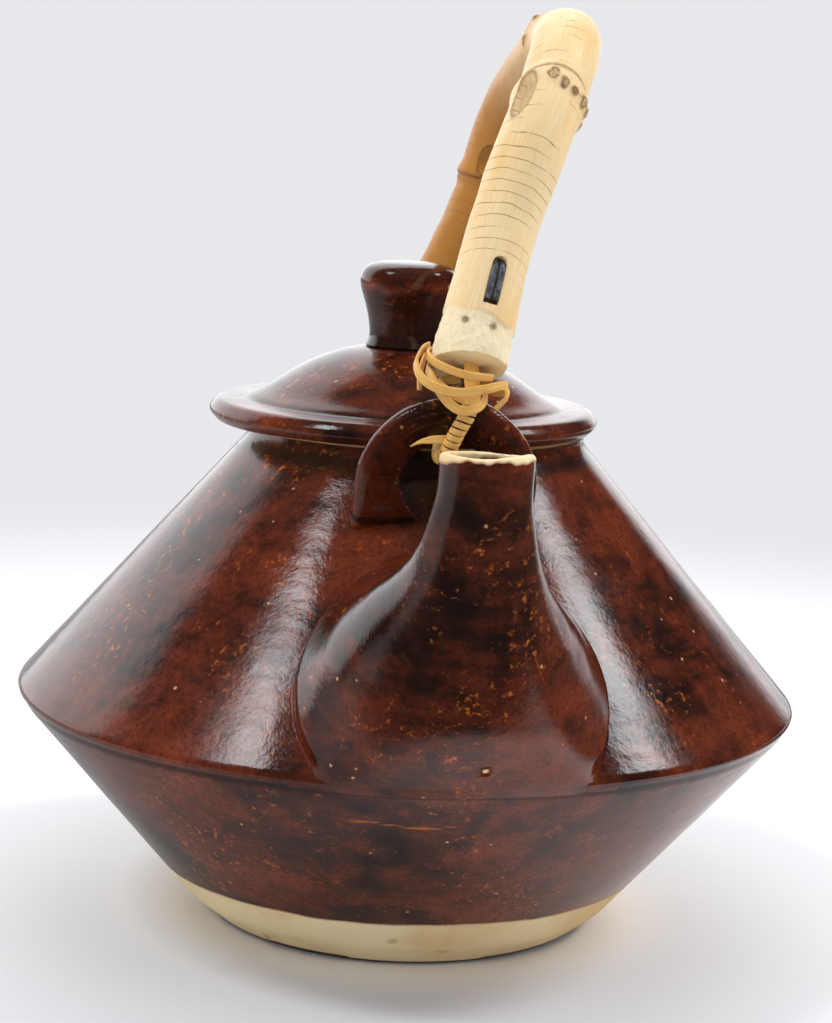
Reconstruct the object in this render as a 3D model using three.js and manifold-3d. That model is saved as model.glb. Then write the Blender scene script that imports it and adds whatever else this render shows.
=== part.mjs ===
// A stoneware teapot: a double-cone pot with a front spout, a dome lid and a swinging bamboo bail.
// Millimetres, +Z up, the base rests on z = 0 and the spout points to -Y.
import * as THREE from "three";
import { mergeVertices } from "three/addons/utils/BufferGeometryUtils.js";
import Module from "manifold-3d";

const wasm = await Module();
wasm.setup();

// Clearance kept between pieces that touch
const gap = 0.3;

// Thrown pot, outside sizes
const pot = {
  wall: 5,
  floor: 6,
  baseRadius: 45,
  footRadius: 52.8,
  footHeight: 6,
  shoulderRadius: 95,
  shoulderHeight: 55.4,
  neckRadius: 40.3,
  neckHeight: 120.2,
  neckLength: 2.6,
  baseRound: 1,
  footRound: 12,
  shoulderRound: 3,
  neckFillet: 6,
  lipRound: 1.2,
  innerShoulderRound: 4,
  innerNeckRound: 3,
  innerFootRound: 5,
  sides: 48,
};

// Lid, thrown upside down: a flange that rests on the lip, a dome and a locating ring inside the neck
const lid = {
  offset: 3.5,
  flangeRadius: 47.6,
  rimDrop: 2.3,
  flangeThickness: 5,
  rimInset: 2.4,
  domeRadius: 38.7,
  domeHeight: 13.5,
  domeTopRadius: 9.9,
  domeKnee: [12, 9.6, 36],
  domeFoot: [-4, 2.3, 20],
  domeCrease: 0.6,
  ringWall: 3.5,
  ringDepth: 8,
  shell: 4.6,
  hollowKnee: [8, 4.4, 14],
  ventRadius: 1.6,
  ventPlace: 21.8,
  sides: 38,
};

const knob = {
  footRadius: 9.3,
  waistRadius: 9.0,
  radius: 11.6,
  height: 20.2,
  waistHeight: 2,
  bellyHeight: 11.1,
  widestHeight: 14.9,
  topDrop: 1.6,
  topInset: 2.2,
  sides: 26,
};

// Spout, a trumpet luted over the strainer holes
const spout = {
  reach: 110,
  mouthHeight: 128.5,
  mouthRadius: 9.75,
  mouthTilt: 8,
  wall: 4,
  lipWall: 2.3,
  rootOverhang: 9,
  rootBelowAxis: 14.1,
  rootHalfWidth: 34.2,
  rootNarrowing: 0.12,
  rootDepth: 12,
  // Bezier handles of the front and back lines: outwards and upwards from the root and from the lip
  frontHandles: [[6.5, 19], [-5.5, -29]],
  backHandles: [[25, 0], [-2.5, -23]],
  // How much wider than the mouth it is, along its length
  flare: [[0.2, 17.2], [0.38, 9], [0.6, 3.8], [0.8, 0.9], [0.93, -0.1]],
  steps: 12,
  sides: 24,
};

const strainer = {
  holeRadius: 2.3,
  pitch: 8.5,
  height: 78,
  perRow: [3, 4, 3],
  sides: 10,
};

// Pulled lugs: an arch round the swing axis, leaning outwards, on a sill
const lug = {
  axisHeight: 113.8,
  holeRadius: 10,
  band: 10.4,
  thickness: 7,
  coneClear: 12.76,
  lidClear: 8.8,
  topAbove: 18.2,
  lean: 0.0107,
  sillBelow: 4.2,
  sillThickness: 7,
  footDepth: 20,
  footSpread: 3.2,
  arcSteps: 16,
  sides: 12,
};

// Bamboo bail: one bent root cane. Places are measured from the swing axis, and its centre line is
// drawn for lugs whose tops stand lugReach from the pot's axis
const bail = {
  radius: 7.85,
  lugReach: 56.3,
  endFlare: 0.9,
  flareLength: 0.05,
  ringSwell: 0.7,
  ringLength: 0.008,
  faceTilt: 29,
  overlength: 14,
  steps: 50,
  sides: 12,
};

// Centre line of the cane from the front end to the rear end: sideways, along, above the swing axis.
// It is spread or drawn in with the lugs
const bailLine = [
  [3.1, -56.6, 26.9],
  [11.1, -48.6, 58.9],
  [19.5, -44.4, 82.4],
  [26.4, -28.4, 96.0],
  [29.8, -0.7, 98.6],
  [29.6, 26.3, 92.9],
  [25.9, 46.6, 79.3],
  [19.4, 51.8, 54.5],
  [8.4, 56.8, 26.8],
];

// Growth rings of the cane that stand proud, as a share of its length
const bailRings = [0.335, 0.56, 0.815];

// Wire that hangs the bail: one hairpin at each end, its ends laid in a slot
const wire = {
  radius: 0.8,
  spacing: 1.9,
  innerClear: 1.2,
  outerClear: 1.4,
  holeClear: 0.7,
  slotLength: 11,
  slotDepth: 3.2,
  slotStart: 13,
  boreClear: 0.8,
  steps: 62,
  sides: 6,
};

// Split cane wound on the wire where it runs in the lug
const winding = {
  turns: 9,
  stepsPerTurn: 24,
  sides: 6,
  stripWidth: 1.15,
  stripThickness: 0.9,
  startHeight: 17.6,
};

// Flat split cane that binds the wire under the end of the bail
const tie = {
  stripWidth: 1.7,
  stripThickness: 0.8,
  slack: 0.65,
  steps: 44,
  sides: 6,
};

const degrees = Math.PI / 180;

// Course of the binding: sideways, how far out (from a level), above the top of the lug
const tieRoute = [
  [-10.6, "middle", 2.2, 9.6],
  [-9.8, "middle", 4.4, 6.6],
  [-6, "front", -0.6, 4.2],
  [0, "front", 0.1, 2.6],
  [5.6, "front", -0.6, 2],
  [9.2, "middle", 2.6, 1.8],
  [8, "middle", -2, 1.7],
  [4.2, "back", 0.7, 1.6],
  [0, "back", 0, 1.5],
  [-4.4, "back", 1.4, 1.5],
  [-6.4, "middle", 1, 1.5],
  [-5, "front", -1.2, 0.8],
  [-2, "front", 0, -0.2],
  [1.6, "front", 0, -1.2],
  [4, "front", -0.6, -2],
];

// A polygon's corners rounded: each point is [radius, height, rounding]
function roundOutline(points, arcSteps = 3) {
  const outline = [];
  points.forEach(([r, z, rounding], i) => {
    const corner = new THREE.Vector2(r, z);
    if (!rounding) {
      outline.push(corner);
      return;
    }
    const before = new THREE.Vector2(points[i - 1][0], points[i - 1][1]).sub(corner).normalize();
    const after = new THREE.Vector2(points[i + 1][0], points[i + 1][1]).sub(corner).normalize();
    const opening = Math.acos(THREE.MathUtils.clamp(before.dot(after), -1, 1));
    const back = rounding / Math.tan(opening / 2);
    const centre = before.clone().add(after).normalize()
      .multiplyScalar(rounding / Math.sin(opening / 2)).add(corner);
    const start = corner.clone().addScaledVector(before, back).sub(centre);
    const end = corner.clone().addScaledVector(after, back).sub(centre);
    const sweep = Math.atan2(start.x * end.y - start.y * end.x, start.dot(end));
    for (let k = 0; k <= arcSteps; k++) {
      outline.push(start.clone().rotateAround(new THREE.Vector2(), sweep * k / arcSteps).add(centre));
    }
  });
  return outline;
}

// Moves an open outline sideways by the same distance everywhere, to its right
function offsetOutline(points, distance) {
  const sides = points.slice(1).map((point, i) => {
    const start = new THREE.Vector2(...points[i]);
    const along = new THREE.Vector2(...point).sub(start).normalize();
    const shift = new THREE.Vector2(along.y, -along.x).multiplyScalar(distance);
    return { start: start.add(shift), along };
  });
  const last = new THREE.Vector2(...points.at(-1)).addScaledVector(
    new THREE.Vector2(sides.at(-1).along.y, -sides.at(-1).along.x), distance);
  const moved = sides.map((side, i) => {
    if (i === 0) return side.start;
    const previous = sides[i - 1];
    const across = previous.along.cross(side.along);
    const reach = side.start.clone().sub(previous.start).cross(side.along) / across;
    return previous.start.clone().addScaledVector(previous.along, reach);
  });
  return [...moved, last].map((point) => [point.x, point.y]);
}

// A lathe about Z from an outline that starts and ends on the axis
function lathe(outline, segments = pot.sides) {
  const profile = outline.map((point) => new THREE.Vector2(Math.max(point.x, 0), point.y));
  return new THREE.LatheGeometry(profile, segments).rotateX(Math.PI / 2);
}

// A closed skin over rings of equal count, with a fan at each end
function loft(rings) {
  const count = rings[0].length;
  const positions = rings.flat();
  const indices = [];
  for (let i = 0; i + 1 < rings.length; i++) {
    for (let k = 0; k < count; k++) {
      const a = i * count + k;
      const b = i * count + (k + 1) % count;
      indices.push(a, b, b + count, a, b + count, a + count);
    }
  }
  const close = (ring, first, turned) => {
    const centre = ring.reduce((sum, p) => sum.add(p), new THREE.Vector3()).divideScalar(count);
    const middle = positions.push(centre) - 1;
    for (let k = 0; k < count; k++) {
      const next = first + (k + 1) % count;
      indices.push(middle, ...(turned ? [next, first + k] : [first + k, next]));
    }
  };
  close(rings[0], 0, true);
  close(rings.at(-1), (rings.length - 1) * count, false);
  const geometry = new THREE.BufferGeometry().setFromPoints(positions);
  geometry.setIndex(indices);
  return geometry;
}

// Volume by the sign of the faces: negative when the skin is inside out
function signedVolume(geometry) {
  const { position } = geometry.attributes;
  const index = geometry.index.array;
  const corner = (i) => new THREE.Vector3().fromBufferAttribute(position, index[i]);
  let volume = 0;
  for (let i = 0; i < index.length; i += 3) {
    volume += corner(i).dot(corner(i + 1).cross(corner(i + 2))) / 6;
  }
  return volume;
}

function solidOf(source) {
  const bare = source.clone();
  bare.deleteAttribute("normal");
  bare.deleteAttribute("uv");
  const merged = mergeVertices(bare, 1e-4);
  const index = Array.from(merged.index.array);
  if (signedVolume(merged) < 0) index.reverse();
  const faces = [];
  for (let i = 0; i < index.length; i += 3) {
    const [a, b, c] = index.slice(i, i + 3);
    if (a !== b && b !== c && c !== a) faces.push(a, b, c);
  }
  return new wasm.Manifold(new wasm.Mesh({
    numProp: 3,
    vertProperties: new Float32Array(merged.attributes.position.array),
    triVerts: new Uint32Array(faces),
  }));
}

// Slivers that the cuts leave are merged away below this size
const sliver = 0.01;

function geometryOf(solid) {
  const mesh = solid.simplify(sliver).getMesh();
  const geometry = new THREE.BufferGeometry();
  geometry.setAttribute("position", new THREE.BufferAttribute(mesh.vertProperties, mesh.numProp));
  geometry.setIndex(new THREE.BufferAttribute(mesh.triVerts, 1));
  const flat = geometry.toNonIndexed();
  flat.computeVertexNormals();
  return flat;
}

// An oval section round a centre, spanned by two half axes
function ovalRing(centre, across, up, sides, turn = 0) {
  return Array.from({ length: sides }, (_, k) => {
    const angle = 2 * Math.PI * k / sides + turn;
    return centre.clone()
      .addScaledVector(across, Math.cos(angle))
      .addScaledVector(up, Math.sin(angle));
  });
}

// Pot
const coneTopHeight = pot.neckHeight - pot.neckLength;
const upperSlope = (coneTopHeight - pot.shoulderHeight) / (pot.shoulderRadius - pot.neckRadius);
const lowerSlope = (pot.shoulderHeight - pot.footHeight) / (pot.shoulderRadius - pot.footRadius);
const coneRadiusAt = (z) => pot.shoulderRadius - (z - pot.shoulderHeight) / upperSlope;
const boreRadius = pot.neckRadius - pot.wall;

const potCorners = [
  [0, 0],
  [pot.baseRadius, 0],
  [pot.footRadius, pot.footHeight],
  [pot.shoulderRadius, pot.shoulderHeight],
  [pot.neckRadius, coneTopHeight],
  [pot.neckRadius, pot.neckHeight],
];
const potRounding = [0, pot.baseRound, pot.footRound, pot.shoulderRound, pot.neckFillet, pot.lipRound];

function makePot() {
  const inside = offsetOutline(potCorners, -pot.wall).slice(2).reverse();
  inside[0][1] = pot.neckHeight;
  const innerFoot = inside.at(-1);
  const floorRadius = innerFoot[0] - (innerFoot[1] - pot.floor) / lowerSlope;
  const insideRounding = [pot.lipRound, pot.innerNeckRound, pot.innerShoulderRound];
  const outline = roundOutline([
    ...potCorners.map((corner, i) => [...corner, potRounding[i]]),
    ...insideRounding.map((rounding, i) => [...inside[i], rounding]),
    [floorRadius, pot.floor, pot.innerFootRound],
    [0, pot.floor],
  ]);
  return solidOf(lathe(outline));
}

// The pot's outer surface filled in and grown by a clearance: what is luted on is cut back by it
function potKeepOut(clear) {
  const grown = offsetOutline(potCorners, clear);
  const lip = grown.length - 1;
  const outline = grown.map(([r, z], i) => [r, z, i < lip ? potRounding[i] : 0]);
  return solidOf(lathe([...roundOutline(outline), new THREE.Vector2(0, pot.neckHeight)]));
}

const potOutside = potKeepOut(gap);

// Holes through the wall behind the spout, square to the cone
function strainerHoles() {
  const slant = Math.atan2(1, upperSlope);
  const length = 6 * pot.wall;
  const middleRow = (strainer.perRow.length - 1) / 2;
  const holes = [];
  strainer.perRow.forEach((count, row) => {
    const z = strainer.height + (row - middleRow) * strainer.pitch * Math.cos(slant);
    for (let k = 0; k < count; k++) {
      const turn = (k - (count - 1) / 2) * strainer.pitch / coneRadiusAt(z);
      const { holeRadius, sides } = strainer;
      const hole = new THREE.CylinderGeometry(holeRadius, holeRadius, length, sides);
      hole.rotateX(-slant);
      hole.translate(0, -coneRadiusAt(z), z);
      hole.rotateZ(turn);
      holes.push(solidOf(hole));
    }
  });
  return wasm.Manifold.union(holes);
}

// Lid
const flangeBottom = pot.neckHeight + gap;
const flangeTop = flangeBottom + lid.flangeThickness;
const domeTop = flangeTop + lid.domeHeight;
const ringRadius = boreRadius - lid.offset - gap;

function makeLid() {
  const ringInner = ringRadius - lid.ringWall;
  const rimMiddle = flangeBottom + lid.rimDrop;
  const [kneeOut, kneeUp, kneeRound] = lid.domeKnee;
  const [footOut, footUp, footRound] = lid.domeFoot;
  const [hollowIn, hollowDown, hollowRound] = lid.hollowKnee;
  const outline = roundOutline([
    [0, domeTop],
    [lid.domeTopRadius, domeTop, 0.6],
    [lid.domeTopRadius + kneeOut, flangeTop + kneeUp, kneeRound],
    [lid.domeRadius + footOut, flangeTop + footUp, footRound],
    [lid.domeRadius, flangeTop + lid.domeCrease, 3],
    [lid.flangeRadius - lid.rimInset, flangeTop - 0.3, 2],
    [lid.flangeRadius, rimMiddle, 1.6],
    [lid.flangeRadius - lid.rimInset, flangeBottom, 0.8],
    [ringRadius, flangeBottom],
    [ringRadius, flangeBottom - lid.ringDepth, 1],
    [ringInner, flangeBottom - lid.ringDepth, 1],
    [ringInner, flangeBottom + 1, 3],
    [ringInner - hollowIn, domeTop - lid.shell - hollowDown, hollowRound],
    [0, domeTop - lid.shell],
  ], 2);
  const vent = new THREE.CylinderGeometry(lid.ventRadius, lid.ventRadius, 4 * lid.shell, 10);
  vent.rotateX(Math.PI / 2);
  vent.translate(0, lid.ventPlace, domeTop - lid.shell);
  return solidOf(lathe(outline, lid.sides)).subtract(solidOf(vent)).translate([-lid.offset, 0, 0]);
}

function makeKnob() {
  const foot = domeTop + gap;
  const outline = roundOutline([
    [0, foot],
    [knob.footRadius, foot, 0.3],
    [knob.waistRadius, foot + knob.waistHeight, 3],
    [knob.radius - 1.2, foot + knob.bellyHeight, 14],
    [knob.radius, foot + knob.widestHeight, 2.4],
    [knob.radius - knob.topInset, foot + knob.height - knob.topDrop, 3],
    [0, foot + knob.height],
  ], 2);
  return solidOf(lathe(outline, knob.sides)).translate([-lid.offset, 0, 0]);
}

// Spout: sections spanned between a front line and a back line, both in the plane of the pot's axis
function makeSpout() {
  const ridge = new THREE.Vector2(pot.shoulderRadius, pot.shoulderHeight);
  const downCone = new THREE.Vector2(1, -upperSlope).normalize();
  const intoPot = new THREE.Vector3(0, upperSlope, -1).normalize();
  const tilt = spout.mouthTilt * degrees;
  const mouthLean = new THREE.Vector2(Math.cos(tilt), Math.sin(tilt)).multiplyScalar(spout.mouthRadius);
  const mouth = new THREE.Vector2(spout.reach, spout.mouthHeight);
  const frontFoot = ridge.clone().addScaledVector(downCone, spout.rootOverhang);
  const frontLip = mouth.clone().add(mouthLean);
  const rootTop = lug.axisHeight - spout.rootBelowAxis;
  const backFoot = new THREE.Vector2(coneRadiusAt(rootTop), rootTop);
  const backLip = mouth.clone().sub(mouthLean);
  const line = (foot, lip, [footHandle, lipHandle]) => new THREE.CubicBezierCurve(
    foot,
    foot.clone().add(new THREE.Vector2(...footHandle)),
    lip.clone().add(new THREE.Vector2(...lipHandle)),
    lip);
  const frontLine = line(frontFoot, frontLip, spout.frontHandles);
  const backLine = line(backFoot, backLip, spout.backHandles);
  // Half widths along the spout, from the root's to the mouth's
  const widths = new THREE.SplineCurve([
    [0, spout.rootHalfWidth - spout.mouthRadius],
    ...spout.flare,
    [1, 0],
  ].map(([t, wider]) => new THREE.Vector2(t, spout.mouthRadius + wider)));
  const build = (thin, beyond) => {
    const rings = [];
    for (let i = 0; i <= spout.steps; i++) {
      const t = i / spout.steps;
      const wall = thin ? THREE.MathUtils.lerp(spout.wall, spout.lipWall, t) : 0;
      const front = frontLine.getPoint(t);
      const back = backLine.getPoint(t);
      const middle = front.clone().add(back).multiplyScalar(0.5);
      const half = front.clone().sub(back).multiplyScalar(0.5);
      half.setLength(half.length() - wall);
      const width = widths.getPoint(t).y - wall;
      const centre = new THREE.Vector3(0, -middle.x, middle.y);
      const depth = new THREE.Vector3(0, -half.x, half.y);
      const ring = ovalRing(centre, new THREE.Vector3(width, 0, 0), depth, spout.sides);
      // Near the pot the section is an egg, narrower uphill
      const narrowing = spout.rootNarrowing * (1 - t);
      rings.push(ring.map((point) => {
        const uphill = -point.clone().sub(centre).dot(depth) / depth.lengthSq();
        return point.setX(point.x * (1 - narrowing * uphill));
      }));
    }
    // The root runs on into the pot, whose surface falls away to both sides
    rings.unshift(rings[0].map((point) => point.clone().addScaledVector(intoPot, spout.rootDepth)));
    if (beyond) {
      const out = new THREE.Vector3(0, tilt, 1).setLength(beyond);
      rings.push(rings.at(-1).map((point) => point.clone().add(out)));
    }
    return solidOf(loft(rings));
  };
  // The lower cone runs on past the ridge and forms the spout's underside
  const underside = (inset) => {
    const sink = inset * Math.sqrt(1 + lowerSlope ** 2) / lowerSlope;
    const top = spout.mouthHeight + 2 * spout.mouthRadius;
    const topRadius = pot.shoulderRadius + (top - pot.shoulderHeight) / lowerSlope;
    return solidOf(lathe([
      new THREE.Vector2(0, pot.footHeight),
      new THREE.Vector2(pot.footRadius - sink, pot.footHeight),
      new THREE.Vector2(topRadius - sink, top),
      new THREE.Vector2(0, top),
    ]));
  };
  const shell = build(false, 0).intersect(underside(0));
  const bore = build(true, 3).intersect(underside(spout.wall));
  return shell.subtract(bore).subtract(potOutside);
}

// Distance of the lug's middle from the pot's axis at a height. Its top clears both the cone and the
// lid's flange
const lugTopReach = Math.max(coneRadiusAt(lug.axisHeight) + lug.coneClear, lid.flangeRadius + lug.lidClear);
const lugReachAt = (z) => lugTopReach - lug.lean * (lug.axisHeight + lug.topAbove - z) ** 2;

// The bar over the lug's hole, measured from the swing axis, and its distance from the pot's axis
const barMiddle = lug.holeRadius + lug.band / 2;
const barTop = lug.holeRadius + lug.band;
const barReach = lugReachAt(lug.axisHeight + barMiddle);

function makeLug() {
  const armRadius = barMiddle;
  const section = (x, z, outX, outZ) => {
    const centre = new THREE.Vector3(x, -lugReachAt(z), z);
    const ring = ovalRing(centre, new THREE.Vector3(outX, 0, outZ).multiplyScalar(lug.band / 2),
      new THREE.Vector3(0, lug.thickness / 2, 0), lug.sides);
    return ring.map((point) => {
      const reach = lugReachAt(point.z) - lugReachAt(z);
      return new THREE.Vector3(point.x, point.y - reach, point.z);
    });
  };
  // One arm, from its foot up to the arch
  const arm = (sign) => [1, 0.7, 0.35].map((share) => {
    const spread = lug.footSpread * share ** 2;
    return section(sign * (armRadius + spread), lug.axisHeight - share * lug.footDepth, sign, 0);
  });
  const arch = Array.from({ length: lug.arcSteps + 1 }, (_, i) => {
    const angle = Math.PI * (i / lug.arcSteps - 0.5);
    const outX = Math.sin(angle);
    const outZ = Math.cos(angle);
    return section(armRadius * outX, lug.axisHeight + armRadius * outZ, outX, outZ);
  });
  const rings = [...arm(-1), ...arch, ...arm(1).reverse()];
  const half = lug.sillThickness / 2;
  const sillFoot = lug.axisHeight - lug.footDepth;
  const sillRings = [0, 0.25, 0.5, 0.75, 1].map((share) => {
    const z = THREE.MathUtils.lerp(sillFoot, lug.axisHeight - lug.sillBelow, share);
    return [[-1, -1], [1, -1], [1, 1], [-1, 1]].map(
      ([sx, sy]) => new THREE.Vector3(sx * armRadius, sy * half - lugReachAt(z), z));
  });
  const body = solidOf(loft(rings)).add(solidOf(loft(sillRings)));
  return body.subtract(potOutside);
}

// Bail
const axisPlace = new THREE.Vector3(0, 0, lug.axisHeight);
const bailSpread = barReach / bail.lugReach;
const bailCurve = new THREE.CatmullRomCurve3(
  bailLine.map(([x, y, z]) => new THREE.Vector3(x, y * bailSpread, z).add(axisPlace)), false, "centripetal");

// Everything at one end of the bail is set out from the centre of its end face
function bailEnd(rear) {
  const u = rear ? 1 : 0;
  const centre = bailCurve.getPointAt(u);
  const inwards = bailCurve.getTangentAt(u).multiplyScalar(rear ? -1 : 1);
  const out = new THREE.Vector3(0, rear ? 1 : -1, 0);
  const front = out.clone().addScaledVector(inwards, -out.dot(inwards)).normalize();
  const side = new THREE.Vector3().crossVectors(inwards, front).normalize();
  const swing = Math.atan2(centre.x, centre.z - lug.axisHeight);
  const up = new THREE.Vector3(Math.sin(swing), 0, Math.cos(swing));
  const across = new THREE.Vector3(Math.cos(swing), 0, -Math.sin(swing));
  return { centre, inwards, front, side, out, up, across };
}

function bailRadiusAt(u) {
  const fromEnd = Math.min(u, 1 - u);
  const flare = bail.endFlare * Math.exp(-((fromEnd / bail.flareLength) ** 2));
  const rings = bailRings.map((place) => bail.ringSwell * Math.exp(-(((u - place) / bail.ringLength) ** 2)));
  return bail.radius + flare + rings.reduce((sum, swell) => sum + swell, 0);
}

function makeBail() {
  const { steps } = bail;
  const frames = bailCurve.computeFrenetFrames(steps, false);
  const rings = [];
  for (let i = 0; i <= steps; i++) {
    const radius = bailRadiusAt(i / steps);
    const across = frames.normals[i].clone().multiplyScalar(radius);
    const up = frames.binormals[i].clone().multiplyScalar(radius);
    rings.push(ovalRing(bailCurve.getPointAt(i / steps), across, up, bail.sides));
  }
  const lengthen = (ring, along) => ring.map(
    (point) => point.clone().addScaledVector(along, bail.overlength));
  rings.unshift(lengthen(rings[0], frames.tangents[0].clone().negate()));
  rings.push(lengthen(rings.at(-1), frames.tangents[steps]));
  let cane = solidOf(loft(rings));
  for (const rear of [false, true]) {
    const end = bailEnd(rear);
    const tilt = bail.faceTilt * degrees;
    const keep = end.up.clone().multiplyScalar(Math.cos(tilt)).addScaledVector(end.out, -Math.sin(tilt));
    cane = cane.trimByPlane(keep.toArray(), keep.dot(end.centre));
    cane = cane.subtract(wireRoom(end));
  }
  return cane;
}

// Half the width that the two strands of a hairpin take up side by side, with their clearance
const strandRoom = wire.spacing / 2 + wire.radius + gap;
const slotFloor = bail.radius - wire.slotDepth + wire.radius + gap;

// A bore up the leg from its end face, a hole out to the surface, and the slot below that hole
function wireRoom(end) {
  const slot = new THREE.BoxGeometry(2 * strandRoom, wire.slotLength, 2 * wire.slotDepth);
  const middle = end.centre.clone().addScaledVector(end.inwards, wire.slotStart + wire.slotLength / 2)
    .addScaledVector(end.front, bail.radius);
  slot.applyMatrix4(new THREE.Matrix4().makeBasis(end.side, end.inwards, end.front).setPosition(middle));
  const radius = strandRoom + wire.boreClear;
  const bore = (points, across, deep) => {
    const halfWidth = across.clone().multiplyScalar(radius);
    const halfDepth = deep.clone().multiplyScalar(radius);
    return solidOf(loft(points.map((point) => ovalRing(point, halfWidth, halfDepth, bail.sides))));
  };
  const slotEnd = end.centre.clone().addScaledVector(end.inwards, wire.slotStart + wire.slotLength);
  const low = end.centre.clone().addScaledVector(end.up, -bail.overlength);
  const high = slotEnd.clone().addScaledVector(end.inwards, radius / 2);
  const outside = slotEnd.clone().addScaledVector(end.front, 2 * bail.radius);
  return solidOf(slot)
    .add(bore([low, end.centre, high], end.across, end.out))
    .add(bore([slotEnd, outside], end.side, end.inwards));
}

// How far the wire and what is wound on it stand from the pot's axis, in front of and behind the lug
const woundRadius = wire.radius + gap + winding.stripThickness;
const outerReach = barReach + lug.thickness / 2 + wire.outerClear + woundRadius;
const innerReach = barReach - lug.thickness / 2 - wire.innerClear - woundRadius;

// Height between the top of the lug and the end face of the bail
const neckAt = (end) => end.centre.clone().sub(axisPlace).dot(end.up) - barTop;

// Below the end face the two strands part, to pass the lug in front and behind
function strandReachAt(end, far, height) {
  const exit = Math.abs(end.centre.y);
  return THREE.MathUtils.lerp(far, exit, 0.15 + 0.87 * height / neckAt(end));
}

// Hairpin of wire: both ends in the slot, the bend round the arch of the lug
function wireCurve(end) {
  const inHole = lug.holeRadius - wire.holeClear - woundRadius;
  const neck = neckAt(end);
  const place = (reach, height, sideways) => axisPlace.clone()
    .addScaledVector(end.up, height)
    .addScaledVector(end.out, reach)
    .addScaledVector(end.across, sideways);
  const legPoint = (along, depth, sideways) => end.centre.clone()
    .addScaledVector(end.inwards, along)
    .addScaledVector(end.front, depth)
    .addScaledVector(end.side, sideways);
  const half = wire.spacing / 2;
  // Each end comes out of the hole above the slot and folds back down into it
  const fold = wire.slotStart + wire.slotLength;
  const inLeg = (sign) => [
    legPoint(wire.slotStart + 1, slotFloor, sign * half),
    legPoint(fold - 4, slotFloor, sign * half),
    legPoint(fold - 1.2, slotFloor - 0.5, sign * half),
    legPoint(fold + 0.6, slotFloor / 2, sign * half),
    legPoint(fold - 1.2, 0.5, sign * half),
    legPoint(fold - 5, 0, sign * half),
    legPoint(wire.slotStart / 3, 0, sign * half),
  ];
  const strand = (far, turned) => [
    place(strandReachAt(end, far, 0.8 * neck), barTop + 0.8 * neck, half * 0.7 * turned),
    place(strandReachAt(end, far, 0.2 * neck), barTop + 0.2 * neck, 0.2 * turned),
    place(strandReachAt(end, far, -0.13 * neck), barMiddle + 2.2, 0),
    place(far, barMiddle - 1, 0),
    place(THREE.MathUtils.lerp(barReach, far, 0.66), inHole + 1.5, 0),
  ];
  const turned = Math.sign(end.side.dot(end.across));
  return new THREE.CatmullRomCurve3([
    ...inLeg(turned),
    ...strand(outerReach, 1),
    place(barReach, inHole, 0),
    ...strand(innerReach, -1).reverse(),
    ...inLeg(-turned).reverse(),
  ], false, "centripetal");
}

// A tube of oval section along a curve, without a twist of its own
function tube(curve, steps, across, thickness, sides) {
  const frames = curve.computeFrenetFrames(steps, false);
  return loft(Array.from({ length: steps + 1 }, (_, i) => ovalRing(
    curve.getPointAt(i / steps),
    frames.normals[i].clone().multiplyScalar(across),
    frames.binormals[i].clone().multiplyScalar(thickness), sides)));
}

function makeWire(end) {
  return solidOf(tube(wireCurve(end), wire.steps, wire.radius, wire.radius, wire.sides));
}

// Share of the curve's length at which it first comes down to the height where the winding starts
function windingSpan(end, curve) {
  const heightAt = (u) => curve.getPointAt(u).sub(axisPlace).dot(end.up);
  const samples = 400;
  const inside = Array.from({ length: samples + 1 }, (_, i) => i / samples)
    .filter((u) => heightAt(u) < winding.startHeight);
  return [inside[0], inside.at(-1)];
}

// The cane's own centre line: a helix on the wire, as one unbroken strip
function windingRings(end) {
  const curve = wireCurve(end);
  const [start, stop] = windingSpan(end, curve);
  const frameSteps = 400;
  const frames = curve.computeFrenetFrames(frameSteps, false);
  const coil = wire.radius + gap + winding.stripThickness / 2;
  const total = winding.turns * winding.stepsPerTurn;
  const rings = [];
  for (let i = 0; i <= total; i++) {
    const u = THREE.MathUtils.lerp(start, stop, i / total);
    const k = Math.round(u * frameSteps);
    const angle = 2 * Math.PI * i / winding.stepsPerTurn;
    const outward = frames.normals[k].clone().multiplyScalar(Math.cos(angle))
      .addScaledVector(frames.binormals[k], Math.sin(angle));
    const centre = curve.getPointAt(u).addScaledVector(outward, coil);
    rings.push({
      centre,
      ring: ovalRing(centre, frames.tangents[k].clone().multiplyScalar(winding.stripWidth / 2),
        outward.multiplyScalar(winding.stripThickness / 2), winding.sides),
    });
  }
  return rings;
}

// Least distance between points of the strip that are half a turn or more apart along it
function leastGap(rings) {
  const apart = Math.round(winding.stepsPerTurn / 2);
  let least = Infinity;
  for (let i = 0; i < rings.length; i++) {
    for (let j = i + apart; j < rings.length; j++) {
      if (rings[i].centre.distanceTo(rings[j].centre) > 5) continue;
      for (const a of rings[i].ring) {
        for (const b of rings[j].ring) least = Math.min(least, a.distanceTo(b));
      }
    }
  }
  return least;
}

function makeWinding(end) {
  const rings = windingRings(end);
  console.log(`winding: least gap to itself ${leastGap(rings).toFixed(2)} mm`);
  return solidOf(loft(rings.map(({ ring }) => ring)));
}

// The binding: over the front under the end face, out in a loose bight, through behind the wire
// and over the front again, with its end pointing out beside the lug
function makeTie(end) {
  const half = tie.stripThickness / 2;
  const clear = wire.radius + gap + half + tie.slack;
  const reaches = {
    front: (height) => strandReachAt(end, outerReach, height) + clear,
    middle: () => barReach,
    back: (height) => strandReachAt(end, innerReach, height) - clear,
  };
  const route = new THREE.CatmullRomCurve3(tieRoute.map(
    ([sideways, level, offset, height]) => axisPlace.clone()
      .addScaledVector(end.up, barTop + height)
      .addScaledVector(end.out, reaches[level](height) + offset)
      .addScaledVector(end.across, sideways)), false, "centripetal");
  return solidOf(tube(route, tie.steps, half, tie.stripWidth / 2, tie.sides));
}

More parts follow.
